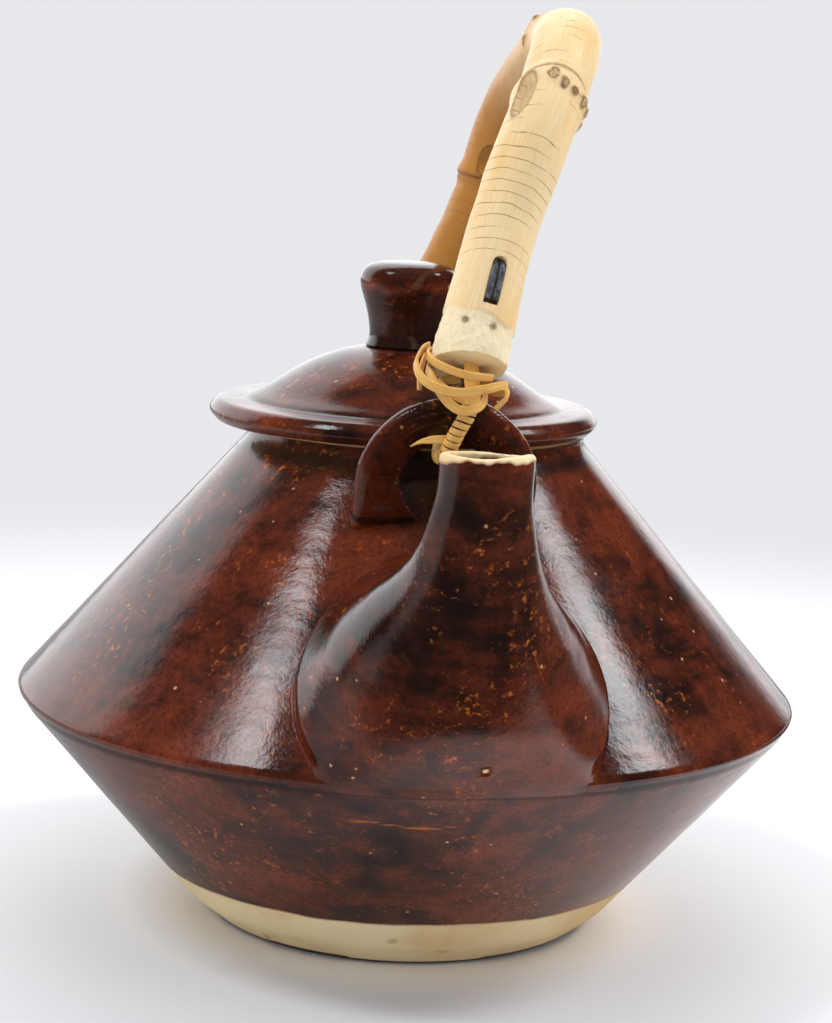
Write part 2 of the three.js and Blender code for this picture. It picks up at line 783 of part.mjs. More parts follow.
const finishes = {
  glaze: { color: 0x3d1f14, roughness: 0.12, metalness: 0 },
  bamboo: { color: 0xe0c38f, roughness: 0.45, metalness: 0 },
  iron: { color: 0x2c2c2e, roughness: 0.5, metalness: 0.8 },
  cane: { color: 0xd7a655, roughness: 0.5, metalness: 0 },
};

const teapot = new THREE.Group();

function addPiece(name, solid, finish) {
  const mesh = new THREE.Mesh(geometryOf(solid), new THREE.MeshStandardMaterial(finish));
  mesh.name = name;
  teapot.add(mesh);
}

addPiece("vessel", makePot().subtract(strainerHoles()), finishes.glaze);
addPiece("spout", makeSpout(), finishes.glaze);
addPiece("lug_front", makeLug(), finishes.glaze);
addPiece("lug_rear", makeLug().rotate([0, 0, 180]), finishes.glaze);
addPiece("lid", makeLid(), finishes.glaze);
addPiece("lid_knob", makeKnob(), finishes.glaze);
addPiece("bamboo_handle", makeBail(), finishes.bamboo);
for (const [where, rear] of [["front", false], ["rear", true]]) {
  const end = bailEnd(rear);
  addPiece(`wire_loop_${where}`, makeWire(end), finishes.iron);
  addPiece(`cane_winding_${where}`, makeWinding(end), finishes.cane);
  addPiece(`cane_tie_${where}`, makeTie(end), finishes.cane);
}

export default teapot;
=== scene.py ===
"""A stoneware teapot with a swinging bamboo bail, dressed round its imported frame.

Sizes are in millimetres until a mesh is made, in the frame of the CAD model: +Z up, the base on
z = 0 and the spout towards -Y.
"""
import math
from types import SimpleNamespace

import bmesh
import bpy
import numpy as np
from mathutils import Matrix


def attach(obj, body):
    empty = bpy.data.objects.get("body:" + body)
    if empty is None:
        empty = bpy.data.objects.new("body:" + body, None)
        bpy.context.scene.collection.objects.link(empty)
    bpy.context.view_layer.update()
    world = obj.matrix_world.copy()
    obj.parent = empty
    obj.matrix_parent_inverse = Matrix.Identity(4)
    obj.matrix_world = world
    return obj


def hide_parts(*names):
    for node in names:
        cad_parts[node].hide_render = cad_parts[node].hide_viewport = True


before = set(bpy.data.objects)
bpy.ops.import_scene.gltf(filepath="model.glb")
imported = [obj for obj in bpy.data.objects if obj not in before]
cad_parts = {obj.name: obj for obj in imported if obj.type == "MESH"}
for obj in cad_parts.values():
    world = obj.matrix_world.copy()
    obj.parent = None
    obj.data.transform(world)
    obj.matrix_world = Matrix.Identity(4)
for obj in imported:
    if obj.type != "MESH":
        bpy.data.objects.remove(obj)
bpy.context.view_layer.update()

MM = 0.001
TURN = 2 * math.pi
# Points closer than this, in metres, are made one
MERGE = 2e-6

SHOULDER_RADIUS, SHOULDER_HEIGHT = 95.0, 55.4
NECK_RADIUS, NECK_HEIGHT, NECK_LENGTH = 40.3, 120.2, 2.6
FOOT_RADIUS, FOOT_HEIGHT, BASE_RADIUS = 52.8, 6.0, 45.0
POT_WALL, POT_FLOOR = 5.0, 6.0
GLAZE_LINE = 14.3
UPPER_SLOPE = (NECK_HEIGHT - NECK_LENGTH - SHOULDER_HEIGHT) / (SHOULDER_RADIUS - NECK_RADIUS)
LOWER_SLOPE = (SHOULDER_HEIGHT - FOOT_HEIGHT) / (SHOULDER_RADIUS - FOOT_RADIUS)

MOUTH_TILT, MOUTH_REACH, MOUTH_HEIGHT, MOUTH_RADIUS = math.radians(4.5), 110.0, 129.2, 9.75
SPOUT_WALL, LIP_WALL = 4.0, 2.3

LID_OFFSET = 3.5
FLANGE_BOTTOM = NECK_HEIGHT + 0.3
DOME_TOP = FLANGE_BOTTOM + 18.5
LID_RING_RADIUS = NECK_RADIUS - POT_WALL - LID_OFFSET - 0.3
KNOB_FOOT = DOME_TOP + 0.3

AXIS_HEIGHT = 113.8
LUG_HOLE, LUG_BAND, LUG_THICKNESS = 10.0, 10.4, 7.0
LUG_TOP_REACH, LUG_TOP_HEIGHT, LUG_LEAN = 56.4, 132.0, 0.0107

CANE_RADIUS = 7.85
CANE_LINE = [
    (3.1, -56.6, 26.9), (11.1, -48.6, 58.9), (19.5, -44.4, 82.4), (26.4, -28.4, 96.0),
    (29.8, -0.7, 98.6), (29.6, 26.3, 92.9), (25.9, 46.6, 79.3), (19.4, 51.8, 54.5), (8.4, 56.8, 26.8),
]
FACE_TILT = math.radians(29)
SLOT_START, SLOT_LENGTH, SLOT_DEPTH = 13.4, 9.4, 2.1

WIRE_RADIUS, WIRE_SPACING, WIRE_SIDES = 0.8, 1.62, 14
EXIT_BACK = 2.6
WOUND_RADIUS = 2.0

# Distances between points on pieces that are remeshed
ROUGH_VOXEL, SPOUT_VOXEL, LUG_VOXEL = 0.8, 0.6, 0.55


# Shapes in numbers


def unit(vector):
    return vector / np.linalg.norm(vector, axis=-1, keepdims=True)


def smoothstep(low, high, value):
    """Goes from 0 at low to 1 at high, whichever of them is the larger."""
    t = np.clip((value - low) / (high - low), 0, 1)
    return t * t * (3 - 2 * t)


def bell(value, centre, width):
    """1 at the centre, and almost nothing two widths from it."""
    return np.exp(-((value - centre) / width) ** 2)


def round_angles(count):
    return np.linspace(0, TURN, count, endpoint=False)


def rounded(corners, arc_steps=8):
    """An outline whose corners (radius, height, rounding) are rounded."""
    outline = []
    for i, (r, z, rounding) in enumerate(corners):
        corner = np.array([r, z])
        if not rounding:
            outline.append(corner)
            continue
        before = unit(np.array(corners[i - 1][:2]) - corner)
        after = unit(np.array(corners[i + 1][:2]) - corner)
        opening = math.acos(np.clip(before @ after, -1, 1))
        back = rounding / math.tan(opening / 2)
        centre = corner + unit(before + after) * rounding / math.sin(opening / 2)
        start, end = corner + before * back - centre, corner + after * back - centre
        sweep = math.atan2(start[0] * end[1] - start[1] * end[0], start @ end)
        for k in range(arc_steps + 1):
            c, s = math.cos(sweep * k / arc_steps), math.sin(sweep * k / arc_steps)
            outline.append(centre + [start[0] * c - start[1] * s, start[0] * s + start[1] * c])
    return np.array(outline)


def distances(line):
    """How far along a line each of its points lies."""
    return np.concatenate([[0], np.cumsum(np.linalg.norm(np.diff(line, axis=0), axis=1))])


def spaced(points, spacing=None, count=None):
    """The same line with points at even distances."""
    points = np.asarray(points, float)
    points = points[np.concatenate([[True], np.diff(distances(points)) > 1e-9])]
    along = distances(points)
    count = count or max(2, int(round(along[-1] / spacing)) + 1)
    places = np.linspace(0, along[-1], count)
    return np.stack([np.interp(places, along, points[:, k]) for k in range(points.shape[1])], axis=1)


def catmull(points, steps=40):
    """A smooth centripetal line through points."""
    points = np.asarray(points, float)
    padded = np.vstack([2 * points[0] - points[1], points, 2 * points[-1] - points[-2]])
    line = []
    for p0, p1, p2, p3 in zip(padded, padded[1:], padded[2:], padded[3:]):
        d0, d1, d2 = (max(np.linalg.norm(b - a) ** 0.5, 1e-4) for a, b in ((p0, p1), (p1, p2), (p2, p3)))
        t1 = ((p1 - p0) / d0 - (p2 - p0) / (d0 + d1) + (p2 - p1) / d1) * d1
        t2 = ((p2 - p1) / d1 - (p3 - p1) / (d1 + d2) + (p3 - p2) / d2) * d1
        for k in range(steps):
            t = k / steps
            line.append(p1 + t1 * t + (-3 * p1 + 3 * p2 - 2 * t1 - t2) * t ** 2
                        + (2 * p1 - 2 * p2 + t1 + t2) * t ** 3)
    line.append(points[-1])
    return np.array(line)


def bezier(p0, p1, p2, p3, t):
    t = np.asarray(t)[:, None]
    return p0 * (1 - t) ** 3 + 3 * p1 * t * (1 - t) ** 2 + 3 * p2 * t ** 2 * (1 - t) + p3 * t ** 3


def transported(line, first):
    """Tangents, and normals carried along a line without twist, and the third direction."""
    tangents = unit(np.gradient(line, axis=0))
    normals = [unit(first - tangents[0] * (first @ tangents[0]))]
    for tangent in tangents[1:]:
        normals.append(unit(normals[-1] - tangent * (normals[-1] @ tangent)))
    normals = np.array(normals)
    return tangents, normals, np.cross(tangents, normals)


def value_noise(points, scale, seed):
    """Smooth noise from -1 to 1 at points, with features of about scale."""
    rng = np.random.default_rng(seed)
    total = np.zeros(points.shape[:-1])
    waves = 24
    for _ in range(waves):
        direction = unit(rng.normal(size=3)) * rng.uniform(0.5, 1.6) * TURN / scale
        total += np.sin(points @ direction + rng.uniform(0, TURN))
    return total / math.sqrt(waves)


# Meshes


def placed(name, data):
    """A new object in the scene."""
    obj = bpy.data.objects.new(name, data)
    bpy.context.scene.collection.objects.link(obj)
    return obj


def set_traits(obj, **traits):
    """Stores numbers or vectors for the points of a mesh, under the names that its finish reads."""
    for name, values in traits.items():
        kind, field = ("FLOAT_VECTOR", "vector") if np.ndim(values) == 2 else ("FLOAT", "value")
        attribute = obj.data.attributes.get(name) or obj.data.attributes.new(name, kind, "POINT")
        attribute.data.foreach_set(field, np.ravel(values).astype(float))


def piece(name, points, faces, **traits):
    """A smooth mesh object from points in millimetres."""
    mesh = bpy.data.meshes.new(name)
    mesh.from_pydata((np.asarray(points) * MM).tolist(), [], faces)
    mesh.shade_smooth()
    mesh.validate()
    obj = placed(name, mesh)
    set_traits(obj, **traits)
    return obj


def drawn_line(name, line):
    """An object whose points are joined in a line, for a tree to work on."""
    mesh = bpy.data.meshes.new(name)
    mesh.from_pydata((line * MM).tolist(), [(i, i + 1) for i in range(len(line) - 1)], [])
    return placed(name, mesh)


def skin(rings):
    """Points and faces over rings of equal count (rows, around, 3), closed by a fan at each end."""
    rows, around = rings.shape[:2]
    k = np.arange(around)
    following = (k + 1) % around
    faces = []
    for row in range(rows - 1):
        a = row * around
        faces += np.stack([a + k, a + following, a + around + following, a + around + k], 1).tolist()
    middle = rows * around
    last = middle - around
    faces += np.stack([np.full(around, middle), following, k], 1).tolist()
    faces += np.stack([np.full(around, middle + 1), last + k, last + following], 1).tolist()
    return np.vstack([rings.reshape(-1, 3), rings[0].mean(0), rings[-1].mean(0)]), faces


def face_outwards(obj):
    """Merges doubles and turns every face outwards."""
    work = bmesh.new()
    work.from_mesh(obj.data)
    bmesh.ops.remove_doubles(work, verts=work.verts, dist=MERGE)
    bmesh.ops.recalc_face_normals(work, faces=work.faces)
    work.to_mesh(obj.data)
    work.free()
    obj.data.shade_smooth()


def solid(name, rings, **traits):
    """A closed piece over rings of points."""
    obj = piece(name, *skin(np.asarray(rings, float)), **traits)
    face_outwards(obj)
    return obj


def points_of(obj):
    """The points of an object's mesh in millimetres."""
    flat = np.empty(len(obj.data.vertices) * 3)
    obj.data.vertices.foreach_get("co", flat)
    return flat.reshape(-1, 3) / MM


def move_points(obj, points):
    obj.data.vertices.foreach_set("co", np.ravel(points * MM))
    obj.data.update()


def bake(obj):
    """Turns the modifiers on an object into its plain mesh."""
    evaluated = obj.evaluated_get(bpy.context.evaluated_depsgraph_get())
    made = bpy.data.meshes.new_from_object(evaluated)
    obj.modifiers.clear()
    old, obj.data = obj.data, made
    bpy.data.meshes.remove(old)
    made.name = obj.name


def cut(obj, cutters, operation="DIFFERENCE"):
    """Cuts other objects away from a piece, and removes them."""
    for cutter in cutters:
        modifier = obj.modifiers.new("cut", "BOOLEAN")
        modifier.operation = operation
        modifier.solver = "EXACT"
        modifier.object = cutter
    bake(obj)
    for cutter in cutters:
        bpy.data.objects.remove(cutter)


def without_hairs(obj):
    """Takes out the faces without area that a cut leaves."""
    work = bmesh.new()
    work.from_mesh(obj.data)
    bmesh.ops.triangulate(work, faces=work.faces)
    bmesh.ops.dissolve_degenerate(work, dist=1e-6, edges=work.edges)
    work.to_mesh(obj.data)
    work.free()


def remeshed(obj, size):
    modifier = obj.modifiers.new("remesh", "REMESH")
    modifier.mode = "VOXEL"
    modifier.voxel_size = size * MM
    bake(obj)


def joined(first, others):
    """Joins finished meshes into the first one."""
    work = bmesh.new()
    for obj in (first, *others):
        work.from_mesh(obj.data)
    work.to_mesh(first.data)
    work.free()
    for other in others:
        bpy.data.objects.remove(other)
    first.data.shade_smooth()


def smoothed(obj, weight, rounds):
    """Evens out the points where weight is above zero."""
    points = points_of(obj)
    ends = np.empty(len(obj.data.edges) * 2, dtype=np.int64)
    obj.data.edges.foreach_get("vertices", ends)
    a, b = ends.reshape(-1, 2).T
    count = np.bincount(ends, minlength=len(points))
    share = np.asarray(weight)[:, None] * 0.6
    for _ in range(rounds):
        total = [np.bincount(a, along[b], len(points)) + np.bincount(b, along[a], len(points))
                 for along in points.T]
        points += share * ((np.array(total) / count).T - points)
    move_points(obj, points)


def nearest(points, line):
    """Distance of each point to the nearest point of a line of points."""
    best = np.full(len(points), np.inf)
    for place in line:
        best = np.minimum(best, ((points - place) ** 2).sum(1))
    return np.sqrt(best)


def settle(obj, body, node, finish):
    """Gives a finished piece its finish and its place in the frame."""
    obj.data.materials.clear()
    obj.data.materials.append(finish)
    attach(obj, body)
    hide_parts(node)


# Node trees


class Nodes:
    """Writes the nodes of one tree."""

    def __init__(self, tree):
        self.tree = tree

    def feed(self, node, **inputs):
        """Sets inputs, called by name or as i and a number. A socket is linked to its input."""
        for name, value in inputs.items():
            key = int(name[1:]) if name[0] == "i" and name[1:].isdigit() else name.replace("_", " ")
            if isinstance(value, bpy.types.NodeSocket):
                self.tree.links.new(value, node.inputs[key])
            else:
                node.inputs[key].default_value = value

    def add(self, kind, settings=None, **inputs):
        node = self.tree.nodes.new(kind)
        for name, value in (settings or {}).items():
            setattr(node, name, value)
        self.feed(node, **inputs)
        return node

    def result(self, kind, settings=None, **inputs):
        """The first output of a new node."""
        return self.add(kind, settings, **inputs).outputs[0]

    def maths(self, operation, first, second=0.0):
        return self.result("ShaderNodeMath", {"operation": operation}, i0=first, i1=second)

    def plus(self, first, second):
        return self.maths("ADD", first, second)

    def minus(self, first, second):
        return self.maths("SUBTRACT", first, second)

    def times(self, first, second):
        return self.maths("MULTIPLY", first, second)

    def vectors(self, operation, first, **inputs):
        return self.add("ShaderNodeVectorMath", {"operation": operation}, i0=first, **inputs).outputs

    def noise(self, place, scale, detail=3.0, roughness=0.55, distortion=0.0):
        """Noise with features about 1/scale of a metre wide."""
        return self.add("ShaderNodeTexNoise", Vector=place, Scale=scale, Detail=detail,
                        Roughness=roughness, Distortion=distortion).outputs["Fac"]

    def stretched(self, place, scale):
        """The same place with each direction scaled, so that a pattern is drawn out."""
        return self.result("ShaderNodeMapping", Vector=place, Scale=scale)

    def band(self, value, low, high, start=0.0, end=1.0):
        """Goes from start to end as value goes from low to high."""
        return self.result("ShaderNodeMapRange", {"interpolation_type": "SMOOTHSTEP"}, Value=value,
                           From_Min=low, From_Max=high, To_Min=start, To_Max=end)

    def blend(self, share, first, second):
        """A mix of two colours."""
        return self.add("ShaderNodeMix", {"data_type": "RGBA"}, i0=share, i6=first, i7=second).outputs[2]

    def between(self, share, first, second):
        """A mix of two numbers."""
        return self.result("ShaderNodeMix", i0=share, i2=first, i3=second)

    def trait(self, name, kind="Fac"):
        return self.add("ShaderNodeAttribute", {"attribute_name": name}).outputs[kind]

    def bumps(self, *layers):
        """Bumps a surface by each layer's height (0 to 1) times its depth in millimetres."""
        normal = {}
        for height, depth in layers:
            normal["Normal"] = self.result("ShaderNodeBump", Height=height, Distance=depth * MM,
                                           Strength=1.0, **normal)
        return normal["Normal"]


def geometry_tree(name, **sockets):
    """A Geometry Nodes tree with named inputs, and their sockets."""
    tree = bpy.data.node_groups.new(name, "GeometryNodeTree")
    tree.interface.new_socket("Geometry", in_out="INPUT", socket_type="NodeSocketGeometry")
    for label, kind in sockets.items():
        tree.interface.new_socket(label.replace("_", " "), in_out="INPUT", socket_type=f"NodeSocket{kind}")
    tree.interface.new_socket("Geometry", in_out="OUTPUT", socket_type="NodeSocketGeometry")
    n = Nodes(tree)
    return n, n.add("NodeGroupInput").outputs


def finish_tree(n, geometry, material):
    """Ends a tree in smooth shading, Realize Instances and Set Material."""
    smooth = n.result("GeometryNodeSetShadeSmooth", i0=geometry)
    real = n.result("GeometryNodeRealizeInstances", i0=smooth)
    painted = n.result("GeometryNodeSetMaterial", i0=real, Material=material)
    n.add("NodeGroupOutput", i0=painted)
    return n.tree


def grow(obj, tree, **values):
    """Runs a tree on an object with its named inputs set, and keeps the plain mesh."""
    modifier = obj.modifiers.new(tree.name, "NODES")
    modifier.node_group = tree
    for item in tree.interface.items_tree:
        if item.in_out == "INPUT" and item.name.replace(" ", "_") in values:
            modifier[item.identifier] = values[item.name.replace(" ", "_")]
    bake(obj)


def turning_tree():
    """Turns an outline, drawn as a line of points at (radius, 0, height), into a thrown shape."""
    n, get = geometry_tree("Turned on the wheel", Segments="Int", Outline_points="Int", Wobble="Float",
                           Wobble_size="Float", Offset="Vector", Seed="Float", Finish="Material")
    columns = n.plus(get["Segments"], 1.0)
    grid = n.result("GeometryNodeMeshGrid", Vertices_X=get["Outline points"], Vertices_Y=columns)
    index = n.result("GeometryNodeInputIndex")
    row = n.maths("FLOOR", n.maths("DIVIDE", n.plus(index, 0.5), columns))
    column = n.minus(index, n.times(row, columns))
    position = n.result("GeometryNodeInputPosition")
    outline = n.result("GeometryNodeSampleIndex", {"data_type": "FLOAT_VECTOR", "domain": "POINT"},
                       i0=get["Geometry"], Value=position, Index=row)
    turn = n.times(n.maths("DIVIDE", column, get["Segments"]), TURN)
    place = n.result("ShaderNodeVectorRotate", {"rotation_type": "Z_AXIS"}, Vector=outline, Angle=turn)
    turned = n.result("GeometryNodeSetPosition", i0=grid, Position=place)
    noise = n.add("ShaderNodeTexNoise", {"noise_dimensions": "4D"}, Vector=position, W=get["Seed"],
                  Scale=get["Wobble size"], Detail=2.0)
    level = n.times(n.minus(noise.outputs["Fac"], 0.5), get["Wobble"])
    outward = n.vectors("NORMALIZE", n.vectors("MULTIPLY", position, i1=(1, 1, 0))[0])[0]
    push = n.vectors("SCALE", outward, Scale=level)[0]
    thrown = n.result("GeometryNodeSetPosition", i0=turned, Offset=push)
    moved = n.result("GeometryNodeSetPosition", i0=thrown, Offset=get["Offset"])
    merged = n.result("GeometryNodeMergeByDistance", i0=moved, Distance=MERGE)
    return finish_tree(n, merged, get["Finish"])


def winding_tree():
    """Winds a flat strip on a line."""
    n, get = geometry_tree("Wound strip", Turns="Float", Steps="Int", Coil_radius="Float",
                           Strip_width="Float", Strip_thickness="Float", Finish="Material")
    curve = n.result("GeometryNodeMeshToCurve", i0=get["Geometry"])
    fine = n.result("GeometryNodeResampleCurve", i0=curve, Count=get["Steps"])
    share = n.add("GeometryNodeSplineParameter").outputs["Factor"]
    outward = n.result("ShaderNodeVectorRotate", {"rotation_type": "AXIS_ANGLE"},
                       Vector=n.result("GeometryNodeInputNormal"), Axis=n.result("GeometryNodeInputTangent"),
                       Angle=n.times(n.times(share, get["Turns"]), TURN))
    kept = n.add("GeometryNodeCaptureAttribute")
    kept.capture_items.new("VECTOR", "Outward")
    n.feed(kept, Geometry=fine, Outward=outward)
    push = n.vectors("SCALE", kept.outputs["Outward"], Scale=get["Coil radius"])[0]
    helix = n.result("GeometryNodeSetPosition", i0=kept.outputs["Geometry"], Offset=push)
    turned = n.result("GeometryNodeSetCurveNormal", {"mode": "FREE"}, i0=helix,
                      Normal=kept.outputs["Outward"])
    section = n.result("GeometryNodeCurvePrimitiveQuadrilateral",
                       Width=get["Strip thickness"], Height=get["Strip width"])
    soft = n.result("GeometryNodeFilletCurve", {"mode": "POLY"}, i0=section, Count=2,
                    Radius=n.times(get["Strip thickness"], 0.4))
    strip = n.result("GeometryNodeCurveToMesh", i0=turned, i1=soft, Fill_Caps=True)
    return finish_tree(n, strip, get["Finish"])


def piercing_tree():
    """Pierces round holes through a wall where points lie, along each point's direction."""
    n, get = geometry_tree("Pierced holes", Places="Object", Hole_radius="Float", Depth="Float",
                           Finish="Material")
    places = n.add("GeometryNodeObjectInfo", Object=get["Places"]).outputs["Geometry"]
    points = n.result("GeometryNodeMeshToPoints", i0=places)
    direction = n.result("GeometryNodeInputNamedAttribute", {"data_type": "FLOAT_VECTOR"}, Name="direction")
    turn = n.result("FunctionNodeAlignRotationToVector", {"axis": "Z"}, Vector=direction)
    drill = n.result("GeometryNodeMeshCylinder", Vertices=28, Radius=get["Hole radius"], Depth=get["Depth"])
    drills = n.result("GeometryNodeInstanceOnPoints", i0=points, Instance=drill, Rotation=turn)
    pierced = n.result("GeometryNodeMeshBoolean", {"operation": "DIFFERENCE", "solver": "EXACT"},
                       Mesh_1=get["Geometry"], Mesh_2=n.result("GeometryNodeRealizeInstances", i0=drills))
    return finish_tree(n, pierced, get["Finish"])


# Finishes


def srgb(red, green, blue):
    """A colour given in 0 to 255, as the linear value that a shader takes."""
    linear = [((c / 255 + 0.055) / 1.055) ** 2.4 if c > 10 else c / 255 / 12.92 for c in (red, green, blue)]
    return (*linear, 1.0)


GLAZE_DARK, GLAZE_RED, GLAZE_GRAIN = srgb(26, 11, 8), srgb(114, 48, 25), srgb(22, 11, 8)
RUST_FLECK, BUFF_SPECK = srgb(196, 104, 38), srgb(205, 150, 90)
# Pooled black is also used as painted shade
BROKEN_AMBER, POOLED_BLACK_AND_SHADE = srgb(166, 88, 34), srgb(14, 9, 8)
CLAY_PALE, CLAY_DEEP = srgb(240, 220, 176), srgb(222, 190, 136)
CLAY_STAIN, CLAY_RUST = srgb(166, 124, 66), srgb(150, 84, 36)

RIND, RIND_PALE, RIND_GOLD = srgb(233, 202, 148), srgb(241, 216, 168), srgb(234, 188, 116)
RIND_WARM, RING_BROWN, SCAR_BROWN = srgb(184, 124, 46), srgb(160, 108, 56), srgb(126, 84, 46)
CARVED_WOOD, CARVED_PALE = srgb(247, 222, 174), srgb(254, 242, 210)
PORE, PITH = srgb(214, 172, 104), srgb(252, 224, 164)

CANE_DEEP, CANE_PALE, CANE_WARM = srgb(214, 156, 72), srgb(238, 192, 108), srgb(206, 134, 48)
WIRE_DARK, WIRE_WORN = srgb(66, 66, 69), srgb(122, 124, 130)


def new_finish(name):
    """A material, its nodes and its shader."""
    material = bpy.data.materials.new(name)
    material.use_nodes = True
    material.node_tree.nodes.clear()
    n = Nodes(material.node_tree)
    shader = n.add("ShaderNodeBsdfPrincipled")
    n.output = n.add("ShaderNodeOutputMaterial", Surface=shader.outputs[0])
    return material, n, shader


def object_place(n):
    return n.add("ShaderNodeTexCoord").outputs["Object"]


def glazed_stoneware():
    """Red-brown glaze over buff clay.

    Trait bare is the distance past the glaze's edge. Trait thin is above zero where the glaze
    breaks, and below zero where it pools and where shade is painted on.
    """
    material, n, shader = new_finish("glazed stoneware")
    place = object_place(n)
    broad = n.noise(place, 22, 4, 0.6, 0.4)
    mottle = n.noise(place, 95, 5, 0.62, 0.6)
    drawn = n.noise(n.stretched(place, (1, 1, 5)), 60, 4, 0.6, 0.3)
    grain = n.noise(place, 900, 3, 0.7)
    depth = n.plus(n.times(broad, 0.45), n.plus(n.times(mottle, 0.35), n.times(drawn, 0.2)))
    glaze = n.blend(n.band(depth, 0.38, 0.64), GLAZE_DARK, GLAZE_RED)
    glaze = n.blend(n.band(grain, 0.33, 0.58, 0.4, 0.0), glaze, GLAZE_GRAIN)
    # Rust-coloured flecks in drifts, and a few pale specks
    drift = n.band(n.noise(place, 34, 3, 0.6, 1.0), 0.47, 0.66)
    fleck = n.band(n.noise(place, 520, 3, 0.75), 0.56, 0.70)
    glaze = n.blend(n.times(fleck, n.times(drift, 0.9)), glaze, RUST_FLECK)
    spot = n.add("ShaderNodeTexVoronoi", Vector=place, Scale=190.0, Randomness=1.0)
    chance = n.band(n.result("ShaderNodeSeparateColor", Color=spot.outputs["Color"]), 0.56, 0.60)
    speck = n.times(n.band(spot.outputs["Distance"], 0.05, 0.10, 1.0, 0.0), chance)
    glaze = n.blend(n.times(speck, 0.8), glaze, BUFF_SPECK)
    # The glaze breaks amber where it is thin, and goes black where it pools and where shade is painted on
    thin = n.trait("thin")
    ragged = n.plus(thin, n.times(n.minus(mottle, 0.5), 0.9))
    glaze = n.blend(n.band(ragged, 0.45, 1.0, 0.0, 0.8), glaze, BROKEN_AMBER)
    # Pooled black, which also paints shade: under the shoulder ridge, under the lid, behind the lugs' holes
    # and on the spout's upper front
    glaze = n.blend(n.band(thin, -0.1, -1.0, 0.0, 0.85), glaze, POOLED_BLACK_AND_SHADE)
    # Bare clay, with a rust line at the edge of the glaze
    edge = n.plus(n.trait("bare"), n.times(n.minus(n.noise(place, 60, 4), 0.5), 1.6))
    clay = n.blend(n.band(n.noise(place, 30, 5, 0.6), 0.35, 0.7), CLAY_PALE, CLAY_DEEP)
    stain = n.band(n.noise(place, 75, 2, 0.5, 0.5), 0.66, 0.74)
    clay = n.blend(n.times(stain, 0.5), clay, CLAY_STAIN)
    clay = n.blend(n.band(edge, 0.0, 0.8, 0.75, 0.0), clay, CLAY_RUST)
    is_clay = n.band(edge, -0.15, 0.15)
    dull = n.band(n.noise(place, 26, 3, 0.6), 0.40, 0.68)
    gloss = n.plus(n.band(grain, 0.35, 0.75, 0.06, 0.13), n.times(dull, 0.12))
    waves, peel = n.noise(place, 85, 2, 0.4), n.noise(place, 420, 2, 0.5)
    pits, glaze_step = n.minus(1.0, speck), n.minus(1.0, is_clay)
    n.feed(shader, Base_Color=n.blend(is_clay, glaze, clay), Roughness=n.between(is_clay, gloss, 0.82),
           Normal=n.bumps((waves, 0.16), (peel, 0.035), (grain, 0.03), (pits, 0.12), (glaze_step, 0.25)),
           IOR=1.52)
    return material


def bamboo():
    """Pale root cane.

    Trait straight is the place in the cane as if it were straight, in millimetres. The others go
    from 0 to 1: rind where growth rings show, warm, carved, face for the sawn end, and scar.
    """
    material, n, shader = new_finish("bamboo")
    straight = n.trait("straight", "Vector")
    fibre = n.noise(n.stretched(straight, (1, 1, 0.04)), 3.2, 4, 0.6)
    broad = n.noise(n.stretched(straight, (1, 1, 0.35)), 0.12, 3, 0.6)
    colour = n.blend(n.band(fibre, 0.3, 0.7), RIND, RIND_PALE)
    colour = n.blend(n.band(broad, 0.42, 0.72, 0.0, 0.6), colour, RIND_GOLD)
    # Growth rings: fine arcs across the cane, that fade out round it
    parts = n.add("ShaderNodeSeparateXYZ", Vector=straight).outputs
    shift = n.times(n.minus(n.noise(straight, 0.07, 2, 0.4), 0.5), 3.2)
    level = n.times(n.plus(n.plus(parts[2], shift), n.times(parts[1], 0.30)), 0.37)
    ring = n.maths("ABSOLUTE", n.minus(n.maths("FRACT", level), 0.5))
    broken = n.band(n.noise(n.stretched(straight, (1, 1, 1.6)), 0.085, 3, 0.5), 0.42, 0.56)
    line = n.times(n.times(n.band(ring, 0.045, 0.008), broken), n.trait("rind"))
    colour = n.blend(n.times(line, 0.85), colour, RING_BROWN)
    colour = n.blend(n.trait("warm"), colour, RIND_WARM)
    # Carved ends: rough pale wood with torn fibres, and pores in the sawn face
    carved, face = n.trait("carved"), n.trait("face")
    torn = n.noise(n.stretched(straight, (1.6, 1.6, 1.0)), 1.1, 5, 0.75, 1.2)
    colour = n.blend(carved, colour, n.blend(n.band(torn, 0.35, 0.68), CARVED_WOOD, CARVED_PALE))
    pore = n.add("ShaderNodeTexVoronoi", Vector=straight, Scale=1.3).outputs["Distance"]
    colour = n.blend(face, colour, n.blend(n.band(pore, 0.06, 0.2), PORE, PITH))
    patchy = n.times(n.trait("scar"), n.band(n.noise(straight, 0.9, 4, 0.7), 0.30, 0.55, 0.5, 1.0))
    torn_scar = n.times(n.noise(straight, 1.6, 4, 0.7), patchy)
    n.feed(shader, Base_Color=n.blend(patchy, colour, SCAR_BROWN),
           Roughness=n.between(n.maths("MAXIMUM", carved, face), 0.42, 0.85),
           Normal=n.bumps((fibre, 0.03), (n.minus(1.0, line), 0.10), (n.times(torn, carved), 0.3),
                          (torn_scar, 0.5)))
    return material


def split_cane():
    """Honey-coloured split cane, drawn out along each strip. Trait: straight, in millimetres."""
    material, n, shader = new_finish("split cane")
    straight = n.trait("straight", "Vector")
    fibre = n.noise(n.stretched(straight, (1, 1, 0.05)), 3.5, 4, 0.65)
    patch = n.band(n.noise(straight, 0.12, 3, 0.6), 0.5, 0.72, 0.0, 0.7)
    colour = n.blend(n.band(fibre, 0.3, 0.72), CANE_DEEP, CANE_PALE)
    n.feed(shader, Base_Color=n.blend(patch, colour, CANE_WARM),
           Roughness=n.band(fibre, 0.2, 0.8, 0.32, 0.5), Normal=n.bumps((fibre, 0.03)))
    return material


